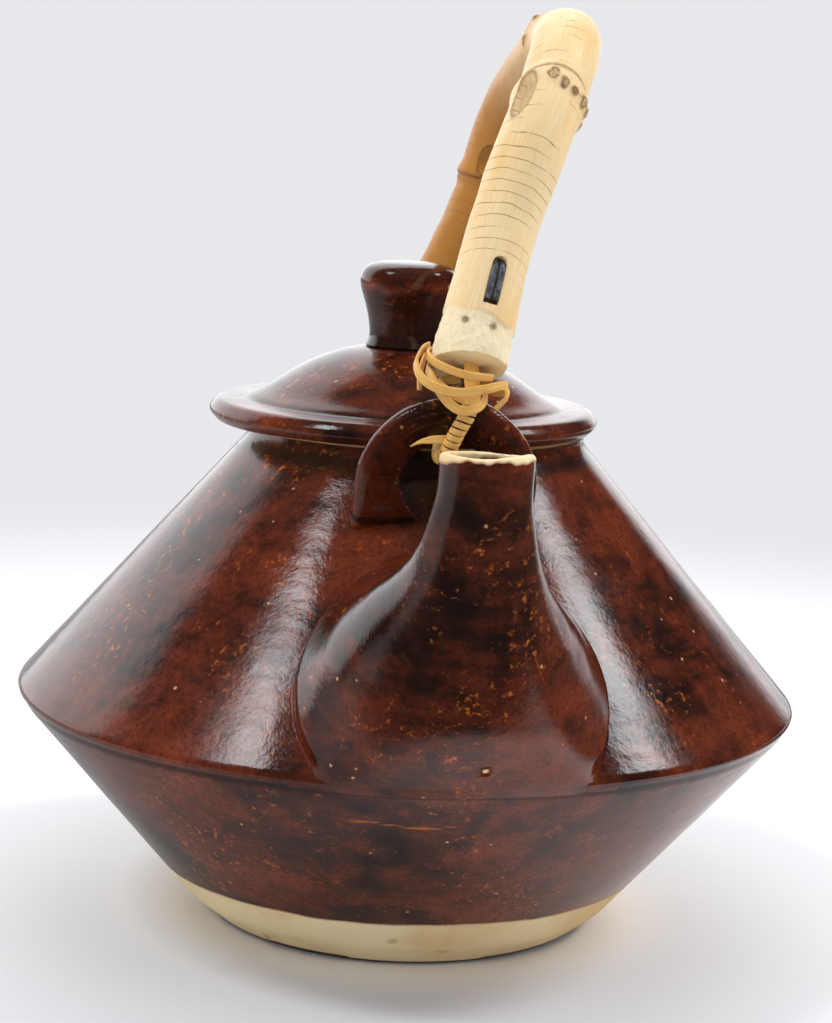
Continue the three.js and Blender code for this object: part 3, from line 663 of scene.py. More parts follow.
def iron_wire():
    """Dark drawn wire, worn paler in places."""
    material, n, shader = new_finish("iron wire")
    worn = n.noise(object_place(n), 900, 4, 0.6)
    n.feed(shader, Base_Color=n.blend(n.band(worn, 0.35, 0.7), WIRE_DARK, WIRE_WORN), Metallic=0.35,
           Roughness=n.band(worn, 0.3, 0.7, 0.38, 0.6), Normal=n.bumps((worn, 0.03)))
    return material


STONEWARE = glazed_stoneware()
BAMBOO = bamboo()
CANE = split_cane()
IRON = iron_wire()
TURNING = turning_tree()
WINDING = winding_tree()
PIERCING = piercing_tree()


# Shapes used only for cutting


def lathe(name, outline, segments=160):
    """A plain closed lathe from points at (radius, height)."""
    angle = round_angles(segments)
    return solid(name, [np.stack([r * np.cos(angle), r * np.sin(angle), np.full(segments, z)], 1)
                        for r, z in outline])


def rod(name, line, radius, side, up, around=24):
    """A straight or bent round rod, its section spanned by side and up."""
    angle = round_angles(around)[:, None]
    circle = (np.cos(angle) * side + np.sin(angle) * up) * radius
    return solid(name, [place + circle for place in np.asarray(line)])


def slab(name, centre, keep, across):
    """A thick block below a plane, for an oblique cut."""
    third = np.cross(keep, across)
    corners = [(across * a + third * b) * 30 for a, b in ((-1, -1), (1, -1), (1, 1), (-1, 1))]
    return solid(name, [[centre + keep * height + corner for corner in corners] for height in (-40, 0)])


# The pot

POT_STEP, POT_COLUMNS = 0.85, 200
STRAINER_ROWS, STRAINER_HEIGHT, STRAINER_SPACING, HOLE_RADIUS = (3, 4, 3), 78, 8.5, 2.3
# A value of the trait bare that is well inside the glaze
GLAZED = -9.0


def thrown_piece(name, outline, segments, offset, wobble, seed):
    """A stoneware piece turned from an outline of (radius, height) points."""
    obj = drawn_line(name, np.stack([outline[:, 0], np.zeros(len(outline)), outline[:, 1]], 1))
    grow(obj, TURNING, Segments=segments, Outline_points=len(outline), Wobble=wobble * MM, Wobble_size=30.0,
         Offset=(offset * MM, 0, 0), Seed=seed, Finish=STONEWARE)
    face_outwards(obj)
    return obj


def settle_stoneware(obj, body, node, bare, thin):
    set_traits(obj, bare=bare, thin=thin)
    settle(obj, body, node, STONEWARE)


def outer_radius(height):
    """Radius of the pot's outside at a height."""
    upper = SHOULDER_RADIUS - (height - SHOULDER_HEIGHT) / UPPER_SLOPE
    lower = FOOT_RADIUS + (height - FOOT_HEIGHT) / LOWER_SLOPE
    return np.maximum(np.minimum(upper, lower), NECK_RADIUS)


def pot_outline():
    outer = [
        (0, 0, 0), (BASE_RADIUS, 0, 1.0), (FOOT_RADIUS, FOOT_HEIGHT, 12),
        (92.6, 52.6, 0.8), (93.0, 53.9, 0.5), (94.7, 55.5, 1.3),
        (NECK_RADIUS, NECK_HEIGHT - NECK_LENGTH, 6), (NECK_RADIUS, NECK_HEIGHT, 1.2)]
    inner = [
        (NECK_RADIUS - POT_WALL, NECK_HEIGHT, 1.2), (NECK_RADIUS - POT_WALL, 115.7, 3), (88.4, 55.4, 4),
        (46.2, POT_FLOOR, 5), (0, POT_FLOOR, 0)]
    line = spaced(rounded(outer + inner), POT_STEP)
    # Fine throwing lines on the outside of both cones
    radius, height = line.T
    outside = (radius > 55) & (radius > outer_radius(height) - 2)
    ripple = 0.008 * np.sin(height * 2.1) + 0.02 * np.sin(height * 0.41 + 1)
    fade = smoothstep(16, 22, height) * smoothstep(114, 108, height) * smoothstep(2, 5, abs(height - 54.5))
    line[:, 0] += ripple * fade * outside
    return line


def strainer_places():
    """A mesh of points with the direction of each hole behind the spout."""
    slant = math.atan2(1, UPPER_SLOPE)
    places, directions = [], []
    for row, count in enumerate(STRAINER_ROWS):
        height = STRAINER_HEIGHT + (row - 1) * STRAINER_SPACING * math.cos(slant)
        radius = outer_radius(height)
        for k in range(count):
            turn = (k - (count - 1) / 2) * STRAINER_SPACING / radius - math.pi / 2
            around = np.array([math.cos(turn), math.sin(turn), 0])
            places.append(around * radius + [0, 0, height])
            directions.append(around * math.cos(slant) + [0, 0, math.sin(slant)])
    return piece("strainer places", places, [], direction=np.array(directions))


def make_pot():
    pot = thrown_piece("thrown_pot", pot_outline(), POT_COLUMNS, offset=0.0, wobble=0.5, seed=3.0)
    places = strainer_places()
    grow(pot, PIERCING, Places=places, Hole_radius=HOLE_RADIUS * MM, Depth=30 * MM, Finish=STONEWARE)
    bpy.data.objects.remove(places)
    without_hairs(pot)
    x, y, height = points_of(pot).T
    inside = np.hypot(x, y) < outer_radius(height) - 2.2
    bare = np.clip(np.maximum(GLAZE_LINE - height, (height - 119.4) * 2), -9, 9)
    shoulder_ridge = bell(height, 55.9, 0.7)
    # Black pooled glaze in the groove under the shoulder ridge and at the foot of the neck, darkened further
    # as painted shade under the ridge's overhang and under the lid's rim
    pool_and_shade = bell(height, 53.4, 0.7) + 0.7 * bell(height, 115.5, 2.0)
    streak = bell(height, 45 + 0.6 * np.sin(x * 0.25), 0.45)
    streak *= smoothstep(-26, -20, x) * smoothstep(6, 0, x) * (y < 0)
    rust_line = bell(height, GLAZE_LINE + 0.6, 0.5)
    # Painted shade: the pot's wall seen through each lug's hole is painted black
    painted_shade_behind_lug = smoothstep(100, 108, height) * smoothstep(15, 9, abs(x)) * (abs(y) > 30)
    thin = 0.2 * shoulder_ridge + 1.1 * streak + 0.4 * rust_line - 1.2 * pool_and_shade - painted_shade_behind_lug
    settle_stoneware(pot, "pot", "vessel", np.where(inside, GLAZED, bare), np.where(inside, 0, thin))


# Spout

INTO_POT = unit(np.array([0, UPPER_SLOPE, -1]))
# What the spout is wider than its mouth on each side, from its root at 0 to the mouth at 1
FLARE = catmull([(0, 23.8), (0.2, 16.6), (0.38, 10.0), (0.6, 4.4), (0.8, 1.1), (0.93, -0.1), (1, 0)])
# The underside stands this far outside the lower cone carried on upwards
UNDERSIDE_PROUD = 1.0
CUT_TOP = 150.0
# Sideways place and height of a small crater, burst through the glaze low on the front
CRATER = (4.3, 61.0)
STREAK = [(9.8, 93.0), (12.1, 87.5), (15.8, 79.2)]


def pot_distance(points):
    """Distance outside the pot's two cones (negative inside), and outside the lower one alone."""
    reach = np.hypot(points[..., 0], points[..., 1]) - SHOULDER_RADIUS
    rise = points[..., 2] - SHOULDER_HEIGHT
    upper = (UPPER_SLOPE * reach + rise) / math.hypot(UPPER_SLOPE, 1)
    lower = (LOWER_SLOPE * reach - rise) / math.hypot(LOWER_SLOPE, 1)
    return np.maximum(upper, lower), lower


def spout_rings(wall, rows, around, beyond=0.0):
    """Rings of the spout's outside, or a wall inside it, from inside the pot to the mouth."""
    mouth = np.array([MOUTH_REACH, MOUTH_HEIGHT])
    lean = np.array([math.cos(MOUTH_TILT), math.sin(MOUTH_TILT)]) * MOUTH_RADIUS
    front_foot = np.array([SHOULDER_RADIUS, SHOULDER_HEIGHT]) + unit(np.array([1, -UPPER_SLOPE])) * 9
    back_foot = np.array([SHOULDER_RADIUS - (99.7 - SHOULDER_HEIGHT) / UPPER_SLOPE, 99.7])
    t = np.linspace(0, 1, rows)
    front = bezier(front_foot, front_foot + [6.5, 19], mouth + lean + [-5.5, -29], mouth + lean, t)
    back = bezier(back_foot, back_foot + [25, 0], mouth - lean + [-2.5, -23], mouth - lean, t)
    width = MOUTH_RADIUS + np.interp(t, FLARE[:, 0], FLARE[:, 1])
    thickness = wall * (1 + (LIP_WALL / SPOUT_WALL - 1) * t)
    middle, half = (front + back) / 2, (front - back) / 2
    half = unit(half) * (np.linalg.norm(half, axis=1) - thickness)[:, None]
    angle = round_angles(around)
    sideways, forwards = np.cos(angle), np.sin(angle)
    narrowing = 1 + 0.10 * (1 - t)[:, None] ** 2 * forwards
    # The back of each ring spreads on to the pot, more so on the left
    spread = 4.4 * bell(t, 0.36, 0.25)[:, None]
    one_sided = np.where(sideways < 0, 1.35, 0.9) * (0.55 - 0.45 * forwards)
    rings = np.zeros((rows, around, 3))
    rings[..., 0] = (width - thickness)[:, None] * sideways * narrowing + spread * sideways * one_sided
    rings[..., 1] = -middle[:, :1] - half[:, :1] * forwards
    rings[..., 2] = middle[:, 1:] + half[:, 1:] * forwards
    # The lip is not quite level
    uneven = 0.35 * np.sin(2 * angle + 0.6) + 0.18 * np.sin(3 * angle)
    rings[..., 2] += uneven * smoothstep(0.9, 1, t)[:, None]
    rings = np.concatenate([rings[:1] + INTO_POT * 12, rings])
    if beyond:
        rings = np.concatenate([rings, rings[-1:] + unit(np.array([0, MOUTH_TILT, 1])) * beyond])
    return rings


def spout_wall_patch():
    """A thin patch of the pot's own wall, over which the spout's joint is drawn out."""
    sunk, wall_depth = 0.35, 4.5
    wall = lathe("wall", [
        (20, 20), (outer_radius(20) - sunk * 1.3, 20), (SHOULDER_RADIUS - sunk * 1.4, SHOULDER_HEIGHT),
        (outer_radius(108) - sunk * 1.3, 108), (20, 108)])
    hollow = lathe("hollow", [
        (10, 10), (outer_radius(10) - wall_depth, 10), (SHOULDER_RADIUS - wall_depth, SHOULDER_HEIGHT),
        (outer_radius(118) - wall_depth, 118), (10, 118)])
    cut(wall, [hollow])
    root = spout_rings(-9, 30, 64)[:1]
    zone = solid("zone", np.concatenate([root - INTO_POT * 24, root]) + (0, 4, 4))
    cut(wall, [zone], "INTERSECT")
    return wall


def spout_creases():
    """Points where the spout's outside crosses the pot, and points where it turns under."""
    rings = spout_rings(0, 240, 120)
    distance, lower = pot_distance(rings)
    under = lower - UNDERSIDE_PROUD
    crossing = (distance[:-1] * distance[1:] < 0) & (rings[:-1, :, 2] > SHOULDER_HEIGHT - 2)
    turning = (under[:-1] * under[1:] < 0) & (distance[:-1] > 0.5)
    return rings[:-1][crossing], rings[:-1][turning]


def spout_shape(crease, edge):
    """The luted spout with its bore."""
    spout = solid("luted_spout", spout_rings(0, 60, 96))
    # The underside carries the lower cone on upwards, and sinks into the pot below the shoulder
    cone_reach = (CUT_TOP - SHOULDER_HEIGHT) / LOWER_SLOPE * 0.97
    underside = lathe("underside", [
        (20, 40), (outer_radius(40) - 2, 40), (outer_radius(51.5) - 0.9, 51.5),
        (SHOULDER_RADIUS + UNDERSIDE_PROUD, SHOULDER_HEIGHT + 0.6),
        (SHOULDER_RADIUS + UNDERSIDE_PROUD + cone_reach, CUT_TOP), (20, CUT_TOP)])
    cut(spout, [underside], "INTERSECT")
    joined(spout, [spout_wall_patch()])
    remeshed(spout, ROUGH_VOXEL)
    points = points_of(spout)
    from_crease = nearest(points, crease)
    low = smoothstep(78, 62, points[:, 2])
    smoothed(spout, np.clip(1.3 - from_crease / (3.2 - 1.6 * low), 0, 1), 12)
    smoothed(spout, np.clip(1.3 - nearest(points, edge) / 9, 0, 1) * smoothstep(3, 9, from_crease), 60)
    bore = solid("bore", spout_rings(SPOUT_WALL, 60, 72, beyond=4))
    inner_reach = FOOT_RADIUS + (CUT_TOP - FOOT_HEIGHT) / LOWER_SLOPE - 5
    inner_underside = lathe("inner underside", [
        (10, 0), (FOOT_RADIUS - 9.5, 0), (inner_reach, CUT_TOP), (10, CUT_TOP)])
    cut(bore, [inner_underside], "INTERSECT")
    cut(spout, [bore])
    remeshed(spout, SPOUT_VOXEL)
    smoothed(spout, np.full(len(spout.data.vertices), 0.6), 5)
    return spout


def make_spout():
    crease, edge = spout_creases()
    spout = spout_shape(crease, edge)
    points = points_of(spout)
    x, y, height = points.T
    crater = points[np.argmin(np.hypot(x - CRATER[0], height - CRATER[1]) + 99 * (y > -94))]
    away = np.linalg.norm(points - crater, axis=1)
    outward = unit(points - (crater + [0, 60, 20]))
    points = points + outward * (0.35 * bell(away, 1.5, 0.45) - 0.7 * bell(away, 0, 0.9))[:, None]
    move_points(spout, points)
    x, y, height = points.T
    below_mouth = MOUTH_HEIGHT - (MOUTH_REACH + y) * math.tan(MOUTH_TILT) - height
    below_mouth += 0.25 * np.sin(x * 0.9) + 0.15 * np.sin(x * 2.3 + 1)
    bare = np.clip(np.maximum(1.5 - below_mouth, (0.75 - away) * 3), -9, 9)
    in_bore = nearest(points, spout_rings(SPOUT_WALL, 40, 24).reshape(-1, 3)) < 1.9
    lip_line = bell(below_mouth, 1.9, 0.5) * ~in_bore
    from_crease = nearest(points, crease)
    # Painted shade: the upper front of the spout is darkened towards black
    painted_front_shade = smoothstep(68, 74, height) * smoothstep(26, 14, abs(x))
    on_streak = bell(nearest(points[:, ::2], catmull(STREAK)), 0, 0.5) * (y < -96)
    flank_edge = bell(from_crease, 4.2, 1.3) * ((x > 12) & (height < 100) & (height > 58))
    thin = 0.9 * lip_line - 1.3 * bell(from_crease, 0, 0.9) - 0.4 * painted_front_shade
    settle_stoneware(spout, "pot", "spout", bare, thin + 1.2 * on_streak + 0.75 * flank_edge)


# Lugs


def lug_reach(height):
    """How far a lug's middle plane lies from the pot's axis."""
    return LUG_TOP_REACH - LUG_LEAN * (LUG_TOP_HEIGHT - height) ** 2


def lug_band():
    """Sections along a lug's pulled band, thick at its outer rim and thinner towards the hole."""
    angle = round_angles(40)
    outwards = np.cos(angle) * LUG_BAND / 2
    thick = np.sin(angle) * LUG_THICKNESS / 2 * (0.74 + 0.28 * np.cos(angle))
    middle = LUG_HOLE + LUG_BAND / 2
    shares = np.array([0.2, 0.4, 0.6, 0.8, 1.0])
    course = [(-middle - 3.4 * share ** 2, -20 * share, -1, 0) for share in shares[::-1]]
    course += [(middle * math.sin(a), middle * math.cos(a), math.sin(a), math.cos(a))
               for a in np.linspace(-math.pi / 2, math.pi / 2, 40)]
    course += [(middle + 3.4 * share ** 2, -20 * share, 1, 0) for share in shares]
    sections = []
    for x, z, out_x, out_z in course:
        height = AXIS_HEIGHT + z + outwards * out_z
        sections.append(np.stack([x + outwards * out_x, thick - lug_reach(height), height], 1))
    return sections


def lug_sill():
    """The web of clay that closes the foot of the arch up to the hole."""
    half_width = LUG_HOLE + LUG_BAND / 2
    corners = np.array([(-1, -1), (1, -1), (1, 1), (-1, 1)]) * [half_width, 2.5]
    web = solid("sill", [[(x, y - lug_reach(height), height) for x, y in corners]
                         for height in np.linspace(AXIS_HEIGHT - 20, 112.5, 12)])
    through = [(0, -90.0, AXIS_HEIGHT), (0, -20.0, AXIS_HEIGHT)]
    cut(web, [rod("eye", through, LUG_HOLE - 0.3, np.array([1.0, 0, 0]), np.array([0, 0, 1.0]), 64)])
    return web


def make_lug(name, node, rear):
    lug = solid(name, lug_band())
    cut(lug, [lug_sill()], "UNION")
    # Only what stands outside the pot's wall is kept, sunk a little into it
    core = lathe("core", [
        (5, 60), (outer_radius(60) - 1.6, 60), (outer_radius(116.0) - 1.6, 116), (NECK_RADIUS - 1.2, 117.4),
        (NECK_RADIUS - 1.2, 140), (5, 140)])
    cut(lug, [core])
    remeshed(lug, LUG_VOXEL)
    x, y, height = points_of(lug).T
    inner = bell(np.hypot(x, height - AXIS_HEIGHT), 11, 3.5)
    sill_edge = (height < 114) & (height > 100)
    smoothed(lug, np.clip(0.35 + inner * 0.4 + sill_edge * 0.4, 0, 1), 14)
    points = points_of(lug)
    points = points + unit(points - points.mean(0)) * value_noise(points, 14, 5 + rear)[:, None] * 0.12
    x, y, height = points.T
    off_axis = np.hypot(x, np.maximum(height - AXIS_HEIGHT, 0))
    rim = bell(off_axis, LUG_HOLE + LUG_BAND - 0.6, 0.9)
    foot = bell(-y, outer_radius(height), 1.0)
    move_points(lug, points * [-1, -1, 1] if rear else points)
    settle_stoneware(lug, "pot", node, np.full(len(points), GLAZED), 0.5 * rim - 1.1 * foot - 0.5)


# Lid


def make_lid():
    top = catmull([
        (9.9, 139.0), (13.5, 138.3), (17.3, 137.2), (22.2, 135.2), (27.2, 132.4), (30.0, 130.6),
        (33.5, 128.3), (36.6, 126.8)], 12)
    ring_inner, ring_bottom = LID_RING_RADIUS - 3.5, FLANGE_BOTTOM - 8
    rim = rounded([
        (36.6, 126.8, 0), (37.9, 125.95, 0.7), (45.0, 125.6, 2.0), (47.1, 122.9, 1.3),
        (44.9, FLANGE_BOTTOM, 1.2), (LID_RING_RADIUS, FLANGE_BOTTOM, 0.6), (LID_RING_RADIUS, ring_bottom, 1),
        (ring_inner, ring_bottom, 1), (ring_inner, FLANGE_BOTTOM + 1, 3),
        (ring_inner - 8, DOME_TOP - 9.0, 14), (0, DOME_TOP - 4.6, 0)])
    flat_top = [(0, DOME_TOP + 0.15), (9.0, DOME_TOP + 0.15)]
    line = spaced(np.vstack([flat_top, top[1:], rim[1:]]), 0.6)
    lid = thrown_piece("thrown_lid", line, 180, offset=-LID_OFFSET, wobble=0.4, seed=8.0)
    vent = [(-LID_OFFSET, 21.8, 120), (-LID_OFFSET, 21.8, 150)]
    cut(lid, [rod("vent", vent, 1.6, np.array([1.0, 0, 0]), np.array([0, 1.0, 0]), 28)])
    without_hairs(lid)
    x, y, height = points_of(lid).T
    radius = np.hypot(x + LID_OFFSET, y)
    below_rim = (height < FLANGE_BOTTOM + 1.0) & (radius > 40)
    bare = np.clip(np.where(below_rim, (FLANGE_BOTTOM + 0.15 - height) * 2 + 0.2, GLAZED), -9, 9)
    seat = (radius < 40) & (radius > LID_RING_RADIUS - 4) & (height < FLANGE_BOTTOM + 0.1)
    thin = 0.55 * bell(radius, 46.9, 0.5) - 0.9 * bell(radius, 37.6, 0.7) - 0.8 * bell(radius, 10.2, 0.8)
    thin = np.where(height > FLANGE_BOTTOM + 0.5, thin, 0)
    settle_stoneware(lid, "lid", "lid", np.where(seat, 3, bare), thin)


def make_knob():
    profile = [
        (9.9, 0), (9.5, 0.8), (9.05, 2.2), (9.2, 5.0), (9.8, 8.0), (10.65, 11.0), (11.35, 13.2), (11.7, 15.2),
        (11.45, 17.0), (10.4, 18.6), (8.0, 19.7), (4.4, 20.15), (0, 20.2)]
    body = catmull([(radius, KNOB_FOOT + height) for radius, height in profile], 10)
    line = spaced(np.vstack([[(0, KNOB_FOOT)], body]), 0.35)
    knob = thrown_piece("lid_button", line, 120, offset=-LID_OFFSET, wobble=0.25, seed=5.0)
    height = points_of(knob)[:, 2] - KNOB_FOOT
    thin = 1.3 * bell(height, 14.6, 1.0) - 0.9 * bell(height, 0.9, 0.9) - 0.7
    settle_stoneware(knob, "lid", "lid_knob", np.full(len(height), GLAZED), thin)


# Bail

AXIS = np.array([0, 0, AXIS_HEIGHT])
BAIL_LINE = spaced(catmull(np.array(CANE_LINE) + AXIS), count=621)
BAIL_LENGTH = distances(BAIL_LINE)[-1]
# For each node of the cane: its place from 0 to 1, how far its ring leans, the rootlets' first angle,
# last angle and count, and the angle and depth of the bud's hollow
CANE_NODES = [
    (0.283, 3.4, (-1.75, 0.45, 7), (-2.55, 1.9)),
    (0.53, 1.2, (1.4, 3.6, 4), (0.4, 0.8)),
    (0.815, 1.0, (-2.6, -0.6, 4), (1.8, 1.1)),
]
KNOT_TURNS, KNOT_PLACE = (-2.07, -1.26), 8.8
CANE_COLUMNS, SAWN_OFF = 120, 14


def bail_end(rear):
    """Centre and directions at one end of the bail."""
    line = BAIL_LINE[::-1] if rear else BAIL_LINE
    centre, inwards = line[0], unit(line[4] - line[0])
    out = np.array([0.0, 1.0 if rear else -1.0, 0.0])
    front = unit(out - inwards * (out @ inwards))
    swing = math.atan2(centre[0], centre[2] - AXIS_HEIGHT)
    up = np.array([math.sin(swing), 0, math.cos(swing)])
    return SimpleNamespace(
        centre=centre, inwards=inwards, out=out, front=front, side=np.cross(inwards, front), up=up,
        across=np.array([math.cos(swing), 0, -math.sin(swing)]),
        keep=up * math.cos(FACE_TILT) - out * math.sin(FACE_TILT))


def cane_places(points):
    """Place of each point along the cane, and across it from its centre line."""
    samples = BAIL_LINE[::4]
    best, found = np.full(len(points), np.inf), np.zeros(len(points), dtype=int)
    for k, place in enumerate(samples):
        distance = ((points - place) ** 2).sum(1)
        closer = distance < best
        best[closer], found[closer] = distance[closer], k
    tangents, normals, others = transported(samples, np.array([1.0, 0, 0]))
    away = points - samples[found]
    spacing = np.linalg.norm(samples[1] - samples[0])
    along = found * spacing + (away * tangents[found]).sum(1)
    return along, np.stack([(away * normals[found]).sum(1), (away * others[found]).sum(1), along], 1)


def round_cane(angle, turn):
    """Distance round the cane from the angle turn."""
    return np.angle(np.exp(1j * (angle - turn))) * CANE_RADIUS


def carved_share(from_end, angle, full):
    """1 on the chiselled end of the cane, whose edge wavers, and 0 on its rind."""
    return smoothstep(10.4, full, from_end + 1.6 * np.sin(angle + 0.8) + 0.4 * np.sin(angle * 5))


def cane_surface(along, angle):
    """Radius of the cane's outside, and how scarred it is, by place along it and angle round it."""
    from_end = np.minimum(along, BAIL_LENGTH - along)
    straight = np.stack(np.broadcast_arrays(np.cos(angle) * 8, np.sin(angle) * 8, along), -1)
    radius = CANE_RADIUS + 0.9 * bell(from_end, 0, 12)
    radius = radius + 0.16 * value_noise(straight, 34, 2) + 0.05 * value_noise(straight, 7, 3)
    scar = np.zeros_like(radius)
    for k, (share, lean, (first, last, count), (bud_turn, bud_depth)) in enumerate(CANE_NODES):
        place = share * BAIL_LENGTH
        # A raised ring with a sharp fold behind it, and a slight waist on the far side
        past = along - place - lean * np.cos(angle + math.pi / 2)
        radius += 0.75 * bell(past, 0, 2.3) - 0.35 * bell(past, 3.6, 2.4) - 0.42 * bell(past, 1.0, 0.45)
        scar = np.maximum(scar, 0.8 * bell(past, 1.0, 0.42))
        # Cut-off rootlets round part of the ring: small craters on low bumps
        ragged = 0.35 * value_noise(straight, 2.2, 40 + k)
        rng = np.random.default_rng(11 + k)
        for root in np.linspace(first, last, count):
            turn = root + rng.uniform(-0.09, 0.09)
            size = rng.uniform(0.7, 1.25)
            level = place + lean * math.cos(turn + math.pi / 2) - rng.uniform(0.4, 2.6)
            away = np.hypot(round_cane(angle, turn), along - level)
            pit = bell(away, 0, 0.55 * size)
            radius += 0.95 * bell(away, 0, 1.25 * size) - 0.9 * pit
            crater = 0.95 * bell(away, (0.95 + ragged) * size, 0.36) + 0.6 * pit
            scar = np.maximum(scar, np.minimum(crater, 1))
        # The bud's hollow beside the ring
        oval = np.hypot(round_cane(angle, bud_turn) / 2.5, (past + 4.6) / 4.6)
        radius -= bud_depth * smoothstep(1.05, 0.55, oval)
        scar = np.maximum(scar, 0.75 * bell(oval, 1.02, 0.10))
        scar = np.maximum(scar, 0.35 * smoothstep(1.0, 0.5, oval))
    for turn in KNOT_TURNS:
        away = np.hypot(round_cane(angle, turn), along - KNOT_PLACE)
        radius -= 0.4 * bell(away, 0, 0.5)
        scar = np.maximum(scar, 0.9 * bell(away, 0.45, 0.4))
    chisel = np.round(value_noise(straight * [1, 1, 0.6], 6, 9) * 1.6) / 1.6
    chipped = 0.35 + 0.16 * chisel + 0.10 * value_noise(straight, 2.0, 10)
    return radius - carved_share(from_end, angle, 9.6) * chipped, scar


def wire_room(end):
    """The bore up a leg, the drilled hole above the slot, and the slot."""
    half = WIRE_SPACING / 2 + WIRE_RADIUS + 0.02
    top = end.centre + end.inwards * (SLOT_START + SLOT_LENGTH)
    low = end.centre - end.front * EXIT_BACK
    bore = rod("bore", [low - end.up * 14, low, top - end.front], half + 0.5, end.across, end.out)
    hole = rod("hole", [top, top + end.front * 16], half - 0.1, end.side, end.inwards)
    start = end.centre + end.inwards * SLOT_START
    slot = solid("slot", [
        [start + end.inwards * a + end.front * (CANE_RADIUS + b) + end.side * c
         for a, c in ((0, -half), (SLOT_LENGTH, -half), (SLOT_LENGTH, half), (0, half))]
        for b in (-SLOT_DEPTH, 4)])
    return [bore, hole, slot]


def make_bail():
    tangents, normals, others = transported(BAIL_LINE, np.array([1.0, 0, 0]))
    along = np.linspace(0, BAIL_LENGTH, len(BAIL_LINE))[:, None]
    angle = round_angles(CANE_COLUMNS)[None, :]
    radius, scar = cane_surface(along, angle)
    circle = np.cos(angle)[..., None] * normals[:, None] + np.sin(angle)[..., None] * others[:, None]
    rings = BAIL_LINE[:, None] + circle * radius[..., None]
    # Both ends run on, to be sawn off at a slant
    rings = np.concatenate([rings[:1] - tangents[0] * SAWN_OFF, rings, rings[-1:] + tangents[-1] * SAWN_OFF])
    scar = np.concatenate([scar[0], scar.ravel(), scar[-1], [0, 0]])
    bail = solid("bent_bamboo", rings, scar=scar)
    ends = [bail_end(False), bail_end(True)]
    cutters = []
    for end in ends:
        cutters += [slab("end cut", end.centre, end.keep, end.across), *wire_room(end)]
    cut(bail, cutters)
    without_hairs(bail)
    points = points_of(bail)
    along, straight = cane_places(points)
    off_line = np.hypot(straight[:, 0], straight[:, 1])
    on_face = [(abs((points - end.centre) @ end.keep) < 0.05) & (off_line < 12) for end in ends]
    from_end = np.minimum(along, BAIL_LENGTH - along)
    carved = carved_share(from_end, np.arctan2(straight[:, 1], straight[:, 0]), 9.4)
    share = along / BAIL_LENGTH
    warm = 0.45 * smoothstep(0.40, 0.52, share) + 0.55 * smoothstep(0.54, 0.74, share)
    bored = smoothstep(0.3, 0.9, CANE_RADIUS - 0.6 - off_line) * (from_end > 8) * (from_end < 30)
    scar = np.empty(len(points))
    bail.data.attributes["scar"].data.foreach_get("value", scar)
    rind = (1 - carved) * smoothstep(12, 30, from_end) * smoothstep(0.3, 0.1, scar)
    set_traits(bail, straight=straight, carved=carved, face=np.any(on_face, axis=0), warm=warm, rind=rind,
               scar=np.clip(np.maximum(scar, bored * 0.9), 0, 1))
    settle(bail, "handle", "bamboo_handle", BAMBOO)


# Wire, winding and ties

BAR_MIDDLE = LUG_HOLE + LUG_BAND / 2
BAR_TOP = LUG_HOLE + LUG_BAND
BAR_REACH = lug_reach(AXIS_HEIGHT + BAR_MIDDLE)
OUTER_REACH = BAR_REACH + LUG_THICKNESS / 2 + 1.4 + WOUND_RADIUS
INNER_REACH = BAR_REACH - LUG_THICKNESS / 2 - 1.2 - WOUND_RADIUS
IN_HOLE = LUG_HOLE - 0.7 - WOUND_RADIUS
WINDING_WIDTH, WINDING_THICKNESS, WINDING_PITCH, COIL_RADIUS = 1.38, 0.55, 1.5, 1.55
WINDING_TOP, WINDING_STEPS = 21.4, 30
STRIP_STEP, WIRE_STEP = 0.3, 0.35

